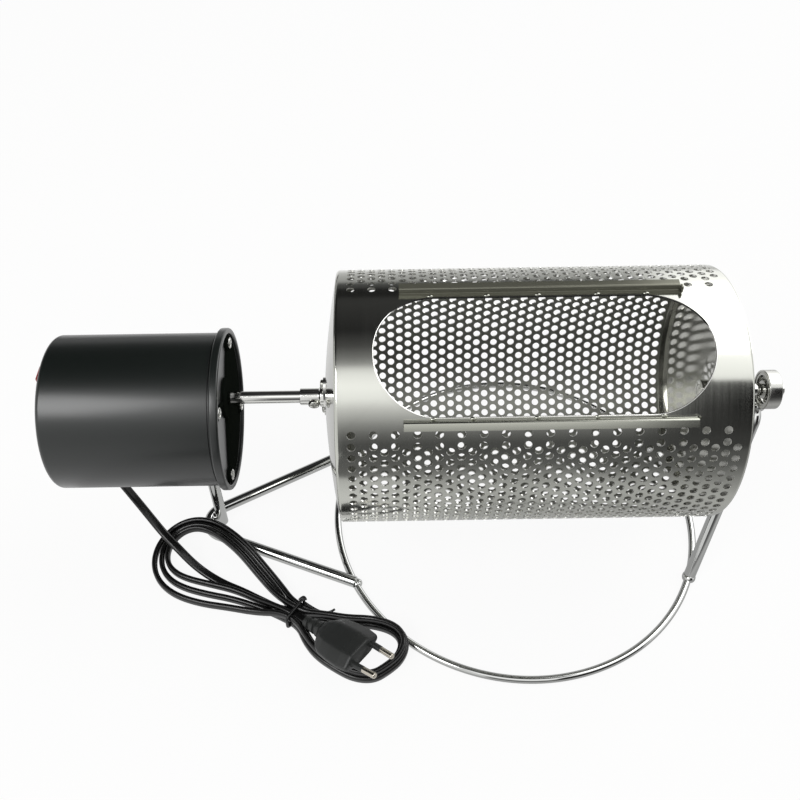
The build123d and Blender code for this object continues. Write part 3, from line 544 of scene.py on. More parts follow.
def pan_head(seat, axis, radius, height):
    """Pan-head screw: height over (r, t) is a rounded dome less a cross recess with soft walls."""
    r = np.concatenate([np.linspace(0, 0.94, 26), [0.975, 0.993, 1.0, 1.0]])[:, None]
    t = circle(64)
    dome = 0.55 + 0.45 * np.sqrt(np.clip(1 - r ** 4, 0, 1))
    a, b = r * np.cos(t), r * np.sin(t)
    arm_long, arm_wide = 0.62, 0.14
    cross = np.minimum(np.maximum(abs(a) / arm_long, abs(b) / arm_wide),
                       np.maximum(abs(b) / arm_long, abs(a) / arm_wide))
    recess = np.clip((1.25 - cross) / 0.5, 0, 1) * 0.45
    rise = (dome - recess) * height
    rise[-1] = 0.0
    side, top = across(axis)
    points = (np.asarray(seat) + rise[..., None] * unit(axis) + (a * radius)[..., None] * side
              + (b * radius)[..., None] * top)
    foot = np.asarray(seat) * np.ones((1, points.shape[1], 3))
    return [grid(np.concatenate([points, foot]), close_v=True)]


# Angles of the two screws of a hub and of the set screw, up from the back
HUB_SCREWS = (88.0, 268.0)
SET_SCREW = 190.0


class ROASTER_OT_drum_ends(bpy.types.Operator):
    """Dished end plates, hubs, screws and axle of the drum"""

    bl_idname = "roaster.drum_ends"
    bl_label = "Drum ends"

    def execute(self, context):
        """Turn the plates and hubs about the drum axis and set the screws where the frame has them."""
        s = context.scene.roaster_drum
        # Bright, with faint rings left by the tool
        plate = finish("spun stainless plate", s.plate_colour, 1.0, 0.11,
                       ((900.0, 60.0, 60.0), 0.08, 0.05 * MM))
        steel = bare_metal("turned steel", linear("#e0e0dc"), 0.09)
        zinc = bare_metal("zinc plate", linear("#b8b8b2"), 0.24)

        def turned(name, node, *shells):
            """Turned steel of the drum."""
            piece(name, shells, "drum", steel, [node])

        low, high = box("end_plate_left")
        thick, flat_r = 0.8 * MM, 21.5 * MM
        dish, skirt = SHELL_LOW[0] - low[0], high[0] - SHELL_LOW[0]
        rim = DRUM_R - s.sheet
        t = np.linspace(0, 1, 24)
        r = rim + (flat_r - rim) * t
        x = -dish * t * (1.4 - 0.4 * t)
        back = zip(x + thick, np.minimum(r, rim - thick))
        profile = [(skirt, rim), *zip(x, r), (-dish, SHAFT_R),
                   (thick - dish, SHAFT_R), *reversed(list(back)), (skirt, rim - thick)]
        for side, x_end, axis in (("left", SHELL_LOW[0], X_AXIS), ("right", SHELL_HIGH[0], -X_AXIS)):
            shells = [ring_lathe(profile, (x_end, 0, AXIS_Z), axis, 128)]
            piece(f"drum_end_{side}", shells, "drum", plate, [f"end_plate_{side}"])

        low, high = box("drive_hub")
        sleeve, flange = 5.3 * MM, 2.0 * MM
        seat = high[0]
        hub = rounded([(low[0], SHAFT_R), (low[0], sleeve), (seat - 5.2 * MM, sleeve),
                       (seat - 4.4 * MM, sleeve + 1.3 * MM), (seat, sleeve + 1.5 * MM), (seat, SHAFT_R)],
                      np.array([0, 0.6, 1, 1, 0, 0]) * MM)
        t = circle(64)
        oval = np.stack([15.0 * MM * np.cos(t), 8.6 * MM * np.sin(t)], -1)
        along, beside = radial(HUB_SCREWS[0]), radial(HUB_SCREWS[0] + 90)
        turned("drive_sleeve", "drive_hub", ring_lathe(hub, ON_AXIS),
               prism(oval, (seat - flange, 0, AXIS_Z), along, beside, flange * X_AXIS))
        for name, node, edge in (("drive_shaft", "output_shaft", 0.4), ("bearing_axle", "stub_axle", 0.7)):
            low, high = box(node)
            turned(name, node, lathe(bar(low[0], high[0], SHAFT_R, edge * MM), ON_AXIS))
        low, high = box("axle_hub")
        neck, disc = 7.0 * MM, 18.0 * MM
        hub = rounded([(low[0], SHAFT_R), (low[0], neck), (high[0] - flange, neck), (high[0] - flange, disc),
                       (high[0], disc), (high[0], SHAFT_R)], np.array([0, 0.6, 1.2, 0.6, 0.2, 0]) * MM)
        turned("axle_flange", "axle_hub", ring_lathe(hub, ON_AXIS))

        for hub in ("drive_hub", "axle_hub"):
            seat = ON_AXIS + X_AXIS * (box(hub)[1][0] - flange)
            shells = [head for angle in HUB_SCREWS
                      for head in pan_head(seat + radial(angle) * 11.0 * MM, -X_AXIS, 2.8 * MM, 2.0 * MM)]
            piece(f"{hub}_heads", shells, "drum", zinc, [f"{hub}_screws"])
        low, high = box("hub_set_screw")
        outward = radial(SET_SCREW)
        seat = ON_AXIS + X_AXIS * (low[0] + high[0]) / 2 + outward * 0.92 * sleeve
        piece("set_screw", pan_head(seat, outward, 3.5 * MM, 2.6 * MM), "drum", zinc,
              ["hub_set_screw"])
        dress(zinc, "hub_nuts")
        return {"FINISHED"}


# Each rail: which way it leads from the hatch, width of its foot, places of its tack welds along the drum
RAILS = {
    "rail_lower": (-1, 1.0 * MM, (7.4, 29.3, 64.3, 97.1, 133.2)),
    "rail_upper": (1, 2.3 * MM, (7.6, 40.1, 69.2, 102.9, 130.9)),
}


def beside_hatch(s, away, x, out, rise):
    """Points along the drum, out over the sheet from a straight edge of the hatch, and above the sheet."""
    edge = math.asin(s.hatch_width / 2 / DRUM_R) + math.radians(0.2)
    return at_drum(x, s.hatch_angle + away * (edge + out / DRUM_R), DRUM_R + rise)


class ROASTER_OT_rails(bpy.types.Operator):
    """Folded rails along the hatch with their tack welds"""

    bl_idname = "roaster.rails"
    bl_label = "Hatch rails"

    def execute(self, context):
        """Carry a folded strip, given as arc length and height over the drum, along the hatch edge."""
        s = context.scene.roaster_drum
        steel = {"rail_lower": rolled_steel("bright rolled steel", s.rail_colour, 1.0),
                 # Painted shade: the upper rail's steel is a darker, less metallic copy of the lower rail's
                 "rail_upper": rolled_steel("shaded rolled steel", s.shaded_rail_colour, 0.55)}
        thick, tall, lip, stop = 0.9 * MM, 4.2 * MM, 4.7 * MM, 5.2 * MM
        stop_bend, stop_room = 1.2 * MM, 1.6 * MM
        mid, top = thick / 2, tall - thick / 2
        tack = ball(9, 16)[2][..., ::-1] * (2.0, 1.1, 0.9)
        tacks = []
        for name, (away, foot, places) in RAILS.items():
            low, high = box(name)
            end = high[0] - stop_room
            line = rounded([(0, mid), (foot + mid, mid), (foot + mid, top), (foot + lip, top + 0.5 * MM)],
                           0.8 * MM, 4)
            along = unit(np.gradient(line, axis=0))
            normal = np.stack([-along[:, 1], along[:, 0]], -1) * thick / 2
            out, rise = np.concatenate([line + normal, (line - normal)[::-1]]).T
            shells = [capped(beside_hatch(s, away, np.array([[low[0]], [end]]), out, rise))]

            # The stop at the far end: the foot bent up, as an outer and an inner face with two edges
            quarter = np.linspace(0, math.pi / 2, 7)
            slope = np.append(quarter, quarter[-1])[:, None]
            reach = end + np.sin(slope) * stop_bend
            lift = np.append((1 - np.cos(quarter)) * stop_bend, stop - thick)[:, None]
            strip = np.linspace(0, foot + thick, 5)
            outer = beside_hatch(s, away, reach, strip, lift)
            inner = beside_hatch(s, away, reach - np.sin(slope) * thick, strip, lift + np.cos(slope) * thick)
            shells.append(grid(np.concatenate([outer, inner[::-1]]), close_u=True))
            shells += [grid(np.stack([outer[:, side], inner[:, side]], 1)) for side in (0, -1)]
            piece(name.replace("rail", "hatch_rail"), shells, "drum", steel[name], [name])
            for place in places:
                x, out, rise = np.moveaxis(tack + (place, 0.1, 0.5), -1, 0) * MM
                tacks.append(grid(beside_hatch(s, away, x, out, rise), close_v=True))
        piece("rail_tacks", tacks, "drum", steel["rail_lower"], ["rail_welds"])
        return {"FINISHED"}


LEG_FOOT = np.array([192.6, 57.0, 2.5]) * MM
LEG_PEAK = np.array([223.6, 0.0, 133.6]) * MM
BEARING_WELD = np.array([222.0, 0.0, 120.6]) * MM


def bead(centre, radius):
    """Weld bead: a ball whose radius swells a little with the two angles, kept above the floor."""
    u, v, points = ball(17, 28)
    swell = 1 + 0.05 * np.sin(3 * v + 1.0) * np.sin(2 * u)
    points = np.asarray(centre) + radius * swell[..., None] * points * (1, 1, 0.8)
    return grid(np.maximum(points, FLOOR), close_v=True)


class ROASTER_OT_stand(bpy.types.Operator):
    """Wire ring, arms, post and legs of the stand with their welds"""

    bl_idname = "roaster.stand"
    bl_label = "Stand"

    def execute(self, context):
        """Carry circles along the ring, the hairpin arms, the post and the inverted V of the legs."""
        s = context.scene.roaster_stand
        chrome = bare_metal("chromium plate", s.chrome_colour, 0.07)
        rod, bend_steps = s.rod / 2, 24

        def chromed(name, shells, *nodes):
            """Bright piece of the stand."""
            piece(name, shells, "stand", chrome, nodes)

        low, high = box("base_ring")
        ring_x, ring_z = (low[0] + high[0]) / 2, (low[2] + high[2]) / 2
        ring_r = (high[0] - low[0] - s.ring_wire) / 2
        t = circle(240)
        ring = np.stack([ring_x + ring_r * np.cos(t), ring_r * np.sin(t), ring_z + 0 * t], -1)
        chromed("stand_ring", [pipe(ring, s.ring_wire / 2, closed=True)], "base_ring")

        # Arms: from the corner of the hairpin to where each meets the ring
        low, high = box("motor_arms")
        middle = np.array([ring_x, 0.0, (low[2] + high[2]) / 2])
        corner = (np.array([s.arm_x, s.arm_y, middle[2]])
                  - heading(s.arm_turn) * s.arm_bend / math.sin(s.arm_half))
        ends = []
        for angle in (s.arm_turn + s.arm_half, s.arm_turn - s.arm_half):
            nearest = (middle - corner) @ heading(angle)
            aside = (middle - corner) @ (middle - corner) - nearest ** 2
            ends.append(corner + heading(angle) * (nearest - math.sqrt(ring_r ** 2 - aside)))
        hairpin = rounded([ends[0], corner, ends[1]], s.arm_bend, bend_steps)
        chromed("stand_arms", [pipe(hairpin, rod)], "motor_arms")

        low, high = box("motor_post")
        centre = (low + high) / 2
        edge = 0.6 * MM
        post = [(*centre[:2], z) for z in (low[2], low[2] + edge, high[2] + 0.4 * MM)]
        chromed("stand_post", [pipe(post, [rod - edge, rod, rod], up=X_AXIS)], "motor_post")
        feet = [LEG_FOOT * (1, hand, 1) for hand in (1, -1)]
        square = unit(np.cross(LEG_PEAK - LEG_FOOT, LEG_FOOT * Y_AXIS))
        points, faces = pipe(rounded([feet[0], LEG_PEAK, feet[1]], s.leg_bend, bend_steps), rod, up=square)
        chromed("stand_legs", [(np.maximum(points, FLOOR), faces)], "bearing_legs")
        beads = [bead(end + (1.2 * MM, 0, -1.4 * MM), 3.7 * MM) for end in ends]
        beads += [bead(foot + (0, 0, 1.2 * MM), 4.6 * MM) for foot in feet]
        beads += [bead((centre[0] - rod, centre[1], 6.5 * MM), 3.4 * MM), bead(BEARING_WELD, 5.0 * MM)]
        chromed("stand_beads", beads)
        return {"FINISHED"}


class ROASTER_OT_bearing(bpy.types.Operator):
    """Ball bearing in its welded ring"""

    bl_idname = "roaster.bearing"
    bl_label = "Bearing"

    def execute(self, context):
        """Turn the ring, both races and the cage, and set the balls between them."""
        s = context.scene.roaster_stand
        steel = bare_metal("ground bearing steel", s.bearing_colour, 0.18)
        race_r, outer_land, inner_land = 11.0 * MM, 9.2 * MM, 5.8 * MM
        pitch, groove_r, ball_r, balls = 7.5 * MM, 2.08 * MM, 1.75 * MM, 7

        def ground(name, shells, body, node):
            """Steel piece of the bearing."""
            piece(name, shells, body, steel, [node])

        low, high = box("bearing_housing")
        x0, x1 = low[0], high[0]
        outer = (high[2] - low[2]) / 2
        lip, lip_r = x1 - 1.0 * MM, 9.8 * MM
        ring = rounded([(x0, race_r), (x0, outer), (x1, outer), (x1, lip_r), (lip, lip_r), (lip, race_r)],
                       np.array([0, 0.7, 0.7, 0.3, 0.2, 0]) * MM)
        ground("bearing_ring", [ring_lathe(ring, ON_AXIS, segments=128)], "stand", "bearing_housing")

        low, high = box("bearing_outer_race")
        x0, x1 = low[0], high[0]
        mid = (x0 + x1) / 2
        t = np.linspace(-0.75, 0.75, 9)
        groove, dip = mid + groove_r * np.sin(t), groove_r * np.cos(t)
        race = [(x0, race_r), (x1, race_r), (x1, outer_land), *zip(groove[::-1], pitch + dip[::-1]),
                (x0, outer_land)]
        ground("outer_race", [ring_lathe(race, ON_AXIS)], "stand", "bearing_outer_race")
        race = [(x1, SHAFT_R), (x0, SHAFT_R), (x0, inner_land), *zip(groove, pitch - dip), (x1, inner_land)]
        ground("inner_race", [ring_lathe(race, ON_AXIS)], "drum", "bearing_inner_race")
        half, web = 1.3 * MM, 0.4 * MM
        shells = [ring_lathe(bar(mid - half, mid + half, pitch + web, 0.2 * MM, pitch - web), ON_AXIS)]
        for angle in 90.0 + np.arange(balls) * 360.0 / balls:
            spot = ON_AXIS + X_AXIS * mid + radial(angle) * pitch
            shells.append(grid(spot + ball_r * ball(17, 24)[2], close_v=True))
        ground("balls", shells, "bearing_balls", "ball_cage")
        return {"FINISHED"}


class ROASTER_OT_motor(bpy.types.Operator):
    """Motor can, ribbed cover, its screws and the hidden gear box"""

    bl_idname = "roaster.motor"
    bl_label = "Motor"

    def execute(self, context):
        """Turn the can and the cover, lay ribs from the shaft boss to the screw pads, and add the screws."""
        s = context.scene.roaster_motor
        # Broad soft highlights under a faint gloss
        paint = finish("black enamel", s.paint_colour, 0.0, 0.36, ((700.0,) * 3, 0.05, 0.1 * MM),
                       Coat_Weight=0.35, Coat_Roughness=0.22)
        # Deep black without shine, with a fine tooth: black is the casting's own colour, and its shine is taken
        # out as painted shade, so that the shallow recess reads as deep
        cast = finish("black casting, shineless as painted shade", s.cover_colour, 0.0, 0.5, ((1500.0,) * 3, 0.08, 0.1 * MM),
                      Specular_IOR_Level=0.0)
        zinc = bare_metal("bright zinc plate", linear("#c6c6c2"), 0.2)
        x0, x1 = CAN_LOW[0], CAN_HIGH[0]
        wall, groove = 1.6 * MM, 0.6 * MM
        inner_r, groove_r = CAN_R - wall, CAN_R - groove
        back = x0 + s.pressed
        can = rounded([(x0, 0), (x0, s.flat), (back, CAN_R - s.corner), (back, CAN_R), (x1 - groove, CAN_R),
                       (x1 - groove, groove_r), (x1, groove_r), (x1, inner_r), (back + wall, inner_r),
                       (back + wall, 0)],
                      [0, 2.0 * MM, 2.0 * MM, s.corner, 0.4 * MM, 0, 0, 0, s.corner - wall, 0], 10)
        piece("motor_can", [lathe(can, ON_CAN, segments=192)], "stand", paint,
              ["motor_housing"])

        low, high = box("front_cover")
        a, b = low[0], high[0]
        rim = (high[2] - low[2]) / 2
        inside = rim - s.rim
        floor = b - s.recess
        disc = rounded([(a, 0), (a, groove_r), (a + groove, groove_r), (a + groove, rim), (b, rim),
                        (b, inside), (floor, inside), (floor, 0)],
                       np.array([0, 0, 0, 1.2, 1.2, 1.0, 0.8, 0]) * MM)
        piece("motor_cover", [lathe(disc, ON_CAN, segments=192)], "stand", paint,
              ["front_cover"])

        # Raised half of the cover, the boss round the shaft, and a pad, a rib and a screw in each quarter
        half_turn = np.radians(np.linspace(-135.0, 45.0, 49))
        plate = (inside - 0.4 * MM) * np.stack([np.cos(half_turn), np.sin(half_turn)], -1)
        sunk = floor - 0.5 * MM
        boss = bar(sunk, b - 0.8 * MM, 13 * MM, np.array([0, 0, 1.0, 0]) * MM, 4.3 * MM)
        shells = [prism(plate, (floor - 0.2 * MM, 0, CAN_Z), Y_AXIS, Z_AXIS, 0.8 * MM * X_AXIS),
                  ring_lathe(boss, ON_AXIS)]
        pad_top, pad_r, seat, seat_r = b - 1.2 * MM, 5.4 * MM, b - 1.8 * MM, 4.2 * MM
        pad = rounded([(sunk, 0), (sunk, pad_r), (pad_top, pad_r), (pad_top, seat_r), (seat, seat_r),
                       (seat, 0)], np.array([0, 0, 0.6, 0.2, 0, 0]) * MM)
        rib_top, rib_half, rib_foot = b - 1.6 * MM, 1.1 * MM, 1.5 * MM
        rib = rounded([(sunk, -rib_foot), (rib_top, -rib_half), (rib_top, rib_half), (sunk, rib_foot)],
                      0.5 * MM, 3)
        rib_start, rib_short = 12 * MM, 15 * MM
        heads = []
        for angle in (45.0, 135.0, 225.0, 315.0):
            spot = ON_CAN + radial(angle) * 42.4 * MM
            shells.append(lathe(pad, spot, segments=48))
            run = np.linalg.norm(spot - ON_AXIS)
            way = (spot - ON_AXIS) / run
            shells.append(prism(rib, ON_AXIS + way * rib_start, X_AXIS, np.cross(X_AXIS, way),
                                way * (run - rib_short)))
            heads += pan_head(spot + X_AXIS * seat, X_AXIS, 3.6 * MM, 2.2 * MM)
        # Painted shade: the raised half, boss, pads and ribs take the shineless black
        piece("cover_ribs", shells, "stand", cast)
        piece("cover_heads", heads, "stand", zinc, ["cover_screws"])
        dress(zinc, "post_screw")
        dress(moulded("nylon gear", linear("#dcd8c8"), 0.45), "output_gear", "idler_gear")
        dress(bare_metal("galvanised steel", linear("#9d9d98"), 0.35),
              "gear_case", "gear_plate", "stator_yoke", "rotor")
        dress(bare_metal("enamelled copper", linear("#9a5a30"), 0.3), "stator_coil")
        return {"FINISHED"}


class ROASTER_OT_switch(bpy.types.Operator):
    """Rocker switch in the end of the can"""

    bl_idname = "roaster.switch"
    bl_label = "Rocker switch"

    def execute(self, context):
        """Give the bezel and the rocker their finishes."""
        s = context.scene.roaster_motor
        dress(moulded("black switch moulding", linear("#0c0c0c"), 0.3), "switch_frame")
        # Glossy red with a clear skin
        dress(finish("red switch rocker", s.rocker_colour, 0.0, 0.22, Coat_Weight=0.3), "switch_rocker")
        return {"FINISHED"}


# Lead from the gland to the hank, in metres
LEAD_ROUTE = (
    (-0.2027, -0.00497, 0.05307), (-0.1985, -0.007, 0.044), (-0.1925, -0.0114, 0.0355),
    (-0.1868, -0.0161, 0.0285), (-0.1778, -0.0245, 0.0205), (-0.1668, -0.0347, 0.017),
    (-0.1567, -0.0428, 0.010), (-0.1467, -0.0494, 0.0056), (-0.1335, -0.0570, 0.0038),
    (-0.1203, -0.0628, 0.0036), (-0.1084, -0.0691, 0.0033),
)
CORD_EXIT = LEAD_ROUTE[0]
GLAND_TOP = np.array([-213.0, 0.0, 75.3]) * MM
WAIST = np.array([-81.0, -82.0, 0.0])
HANK_ANGLE = math.radians(-31.0)
ALONG = heading(HANK_ANGLE)
BESIDE = heading(HANK_ANGLE + math.pi / 2)
PLUG_START = np.array([-73.109, -90.959, 12.068]) * MM
PLUG_AXIS = unit(heading(HANK_ANGLE - math.radians(8.0)) + Z_AXIS * math.tan(math.radians(16.0)))
PLUG_ROLL = math.radians(-4.0)
PLUG_LEVEL = unit(np.cross(Z_AXIS, PLUG_AXIS))
PLUG_SIDE = PLUG_LEVEL * math.cos(PLUG_ROLL) + np.cross(PLUG_AXIS, PLUG_LEVEL) * math.sin(PLUG_ROLL)

# Outermost turn of the hank in millimetres: place along it, place across it, height, and how far the next
# turns lie inside
RIGHT_LOOP = (
    (16.0, -13.4, 3.4, 2.6), (28.0, -18.2, 3.4, 2.8), (43.0, -19.4, 3.4, 3.0), (57.0, -19.0, 3.4, 3.4),
    (69.0, -13.4, 3.4, 3.4), (74.5, -3.5, 3.6, 3.2), (78.6, 6.5, 5.6, 3.0), (77.4, 16.4, 8.4, 3.0),
    (70.5, 22.4, 9.2, 3.0), (60.0, 24.0, 8.0, 3.0), (46.0, 21.4, 5.0, 2.8), (32.0, 14.6, 3.6, 2.6),
    (18.0, 9.6, 3.6, 2.4),
)
LEFT_LOOP = (
    (-20.0, 12.4, 4.6, 3.9), (-38.0, 18.4, 7.6, 4.2), (-56.0, 24.0, 11.6, 4.2), (-72.0, 27.2, 12.8, 4.2),
    (-87.0, 28.4, 12.8, 4.2), (-101.0, 24.8, 12.4, 4.0), (-111.5, 16.8, 9.6, 4.0), (-117.5, 5.5, 5.4, 4.2),
    (-116.4, -8.0, 3.6, 4.6), (-108.5, -20.4, 3.4, 5.4), (-95.5, -28.0, 3.4, 6.6), (-80.0, -29.6, 3.4, 7.6),
    (-62.0, -25.8, 3.4, 8.0), (-43.0, -18.4, 3.4, 7.0), (-25.0, -12.2, 3.6, 4.4),
)
# Each turn of the hank: rank and height where it passes the tie to the right, rank and lift of its right
# loop, then the same on its way back to the left
HANK_TURNS = (
    (0, 3.8, 1.3, 0.0, 0, 3.8, 1.0, 0.0),
    (1, 3.8, 0.0, 0.0, 1, 6.6, 0.0, 0.6),
    (1, 9.8, 0.55, 5.4, 0, 9.8, 1.9, 1.4),
)
# The tie in millimetres: its ring as places across and heights, its knot and its tail as on_floor takes them
TIE_RING = ((0, 1.0), (9.4, 1.0), (9.4, 14.0), (-9.4, 14.0), (-9.4, 1.0), (0, 1.0))
TIE_KNOT = ((-2.4, 8.2, 9.0), (-1.4, 10.6, 10.4), (0.6, 10.4, 11.6), (1.4, 9.6, 10.6))
TIE_TAIL = ((0.0, 9.2, 8.0), (6.0, 8.6, 8.0), (13.0, 8.6, 7.6), (18.0, 10.4, 7.4), (20.6, 12.6, 7.8),
            (22.0, 14.6, 9.0))


def on_floor(u, v, z):
    """Point along the hank, across it and in height, in millimetres, as metres."""
    return (WAIST + ALONG * u + BESIDE * v + Z_AXIS * z) * MM


def lobe(loop, rank, lift):
    """One loop of the hank, its points moved inwards along their normal by its rank times their spacing."""
    u, v, height, spacing = np.array(loop).T
    ahead = unit(np.gradient(np.stack([u, v], -1), axis=0))
    inset = rank * spacing
    places = zip(u - ahead[:, 1] * inset, v + ahead[:, 0] * inset, height + lift)
    return [on_floor(*place) for place in places]


def waist(side, rank, height, first, last):
    """The two points either side of the tie, on one side of it and as far out as the rank says."""
    return [on_floor(u, side * (2.1 + 4.2 * rank), height) for u in (first, last)]


def hank_route():
    """Control points of the folded stretch, turn by turn: past the tie, right loop, back, left loop."""
    route = []
    for out, out_height, right, right_lift, back, back_height, left, left_lift in HANK_TURNS:
        route += waist(-1, out, out_height, -8.0, 6.0)
        route += lobe(RIGHT_LOOP, right, right_lift)
        route += waist(1, back, back_height, 6.0, -7.0)
        route += lobe(LEFT_LOOP, left, left_lift)
    return route + waist(-1, 0, 9.9, -6.0, 4.0)


def spline_points(route, resolution=10):
    """Points of one NURBS spline of order 3 with the route as its control points, met at both ends."""
    curve = bpy.data.curves.new("route", "CURVE")
    curve.dimensions = "3D"
    curve.resolution_u = resolution
    spline = curve.splines.new("NURBS")
    spline.points.add(len(route) - 1)
    spline.points.foreach_set("co", np.concatenate([route, np.ones((len(route), 1))], 1).ravel())
    spline.order_u = 3
    spline.use_endpoint_u = True
    carrier = add_object("route", curve)
    mesh = evaluated(carrier)
    line = np.empty(len(mesh.vertices) * 3)
    mesh.vertices.foreach_get("co", line)
    bpy.data.objects.remove(carrier)
    bpy.data.curves.remove(curve)
    bpy.data.meshes.remove(mesh)
    return line.reshape(-1, 3)


def flat_flex(line, width, thickness, tilt):
    """Twin flex: two cores joined by a shallow groove, carried along the line and tilted about it."""
    t = circle(24)
    core = (width - thickness) / 2
    a = core * np.tanh(3 * np.cos(t)) / math.tanh(3) + thickness / 2 * np.cos(t)
    b = thickness / 2 * np.sin(t) * (1 - 0.10 * np.exp(-(a / (0.16 * width)) ** 2))
    ahead = unit(np.gradient(line, axis=0))
    side = unit(np.cross(ahead, Z_AXIS))
    top = np.cross(side, ahead)
    c, d = np.cos(tilt)[:, None], np.sin(tilt)[:, None]
    wide, thin = side * c + top * d, top * c - side * d
    return capped(np.swapaxes(line + a[:, None, None] * wide + b[:, None, None] * thin, 0, 1))


class ROASTER_OT_cord(bpy.types.Operator):
    """Mains lead with its gland, hank and tie"""

    bl_idname = "roaster.cord"
    bl_label = "Mains lead"

    def execute(self, context):
        """Carry the flat flex along the route's spline and turn the gland's boot about its drooping axis."""
        s = context.scene.roaster_cord
        flex = moulded("soft black PVC", s.flex_colour, 0.28, 0)
        rubber = moulded("black rubber", linear("#0d0d0d"), 0.5)
        wrap = moulded("coated tie wire", linear("#111111"), 0.4, 0)
        route = np.concatenate([LEAD_ROUTE, [on_floor(-16.0, -2.4, 3.8)], hank_route(), [PLUG_START]])
        line = spline_points(route)

        # The flex lies flat along the lead, stands on edge in the hank and lies flat again at the plug
        run = np.concatenate([[0], np.cumsum(np.linalg.norm(np.diff(line, axis=0), axis=1))])
        on_edge, flat_again, twist = 0.145, run[-1] - 0.004, 0.03
        share = np.clip((run - on_edge) / twist, 0, 1) * np.clip((flat_again - run) / twist, 0, 1)
        tilt = math.pi / 2 * share * share * (3 - 2 * share)
        cord = piece("mains_lead", [flat_flex(line, s.width, s.thickness, tilt)], "stand", flex,
                     ["cord_lead", "cord_hank"])

        droop = np.array(CORD_EXIT) - GLAND_TOP
        boot_l, boot_r, inset = np.linalg.norm(droop), 5.2, 4.0 * MM
        x = np.linspace(0, 1, 61)
        groove = 0.35 * (np.sin(x * 2 * math.pi * 6) > 0.2) * (x > 0.25) * (x < 0.95)
        sides = zip(x * boot_l, (boot_r - 1.7 * x - groove) * MM)
        boot = [(-inset, 0), (-inset, boot_r * MM), *sides, (boot_l, 0)]
        collar = bar(-3.0 * MM, 2.5 * MM, 7.0 * MM, 0.9 * MM)
        shells = [lathe(boot, GLAND_TOP, droop, 48), lathe(collar, GLAND_TOP, -Z_AXIS, 48)]
        gland = piece("lead_gland", shells, "stand", rubber, ["cord_gland"])

        wire = 1.0 * MM
        ring = [on_floor(0.06 * v, v - 0.4, z) for v, z in rounded(TIE_RING, 3.4, 8)[:-1]]
        knot, tail = (spline_points([on_floor(*spot) for spot in bit]) for bit in (TIE_KNOT, TIE_TAIL))
        shells = [pipe(ring, wire, up=ALONG, sides=14, closed=True), pipe(knot, 1.3 * wire, sides=12),
                  pipe(tail, 0.8 * wire, sides=12)]
        tie = piece("waist_tie", shells, "stand", wrap, ["cord_tie"])
        return {"FINISHED"}


# Plug in millimetres: place along it, half width and half height; then its section as shares of these two
PLUG_STATIONS = (
    (15.5, 5.8, 4.6), (16.0, 7.0, 5.4), (18.0, 10.4, 6.0), (21.0, 13.4, 6.4), (25.0, 15.2, 6.7),
    (33.0, 16.4, 6.9), (42.0, 16.8, 6.9), (48.6, 16.0, 6.2), (49.7, 15.6, 5.8), (50.2, 14.8, 5.2),
)
PLUG_SECTION = ((1, 0), (1, 0.24), (0.50, 1), (-0.50, 1), (-1, 0.24), (-1, -0.24), (-0.50, -1), (0.50, -1),
                (1, -0.24), (1, 0))


class ROASTER_OT_plug(bpy.types.Operator):
    """Two-pin plug at the end of the lead"""

    bl_idname = "roaster.plug"
    bl_label = "Plug"

    def execute(self, context):
        """Carry a soft six-sided section along the plug's axis and add the ribbed boot, pins and sleeves."""
        s = context.scene.roaster_cord
        shell = moulded("black plug moulding", s.plug_colour, 0.42, 0.1)
        nickel = bare_metal("nickel plate", s.pin_colour, 0.16)

        x = np.linspace(0, 1, 97)
        boot_l = 19.0 * MM
        ribs = 1.2 * np.clip(1.8 * np.sin(x * 2 * math.pi * 3.2 - 0.4), -1, 0)
        sides = zip(x * boot_l, (4.0 + 2.4 * x + ribs * np.clip(8 * x, 0, 1)) * MM)
        piece("plug_boot", [lathe([(0, 0), *sides, (boot_l, 0)], PLUG_START, PLUG_AXIS, 40)], "stand",
              shell, ["plug_relief"])

        place, half_wide, half_tall = np.array(PLUG_STATIONS).T * MM
        at = np.unique(np.concatenate([np.linspace(place[0], place[-1], 60), place]))[:, None]
        ring = rounded(PLUG_SECTION, 0.3, 6)[:-1]
        wide = np.interp(at, place, half_wide) * ring[:, 0]
        tall = np.interp(at, place, half_tall) * ring[:, 1]
        points = (PLUG_START + at[..., None] * PLUG_AXIS + wide[..., None] * PLUG_SIDE
                  + tall[..., None] * np.cross(PLUG_AXIS, PLUG_SIDE))
        piece("plug_shell", [capped(points)], "stand", shell, ["plug_body"], sharp=40.0)

        pin = bar(2 * MM, 22 * MM, 2 * MM, np.array([0, 0, 1.2, 0]) * MM, steps=8)
        sleeve = bar(0, 12 * MM, 2.1 * MM, np.array([0, 0, 0.15, 0]) * MM, 1.6 * MM)
        pins, sleeves = [], []
        for hand in (-1, 1):
            foot = PLUG_START + PLUG_AXIS * 47 * MM + PLUG_SIDE * (hand * 9.3 * MM)
            lean = unit(PLUG_AXIS - PLUG_SIDE * hand * 0.035)
            pins.append(lathe(pin, foot, lean, 32))
            sleeves.append(ring_lathe(sleeve, foot, lean, 32))
        piece("pin_metal", pins, "stand", nickel, ["plug_pins"])
        piece("pin_insulation", sleeves, "stand", shell, ["pin_sleeves"])
        return {"FINISHED"}


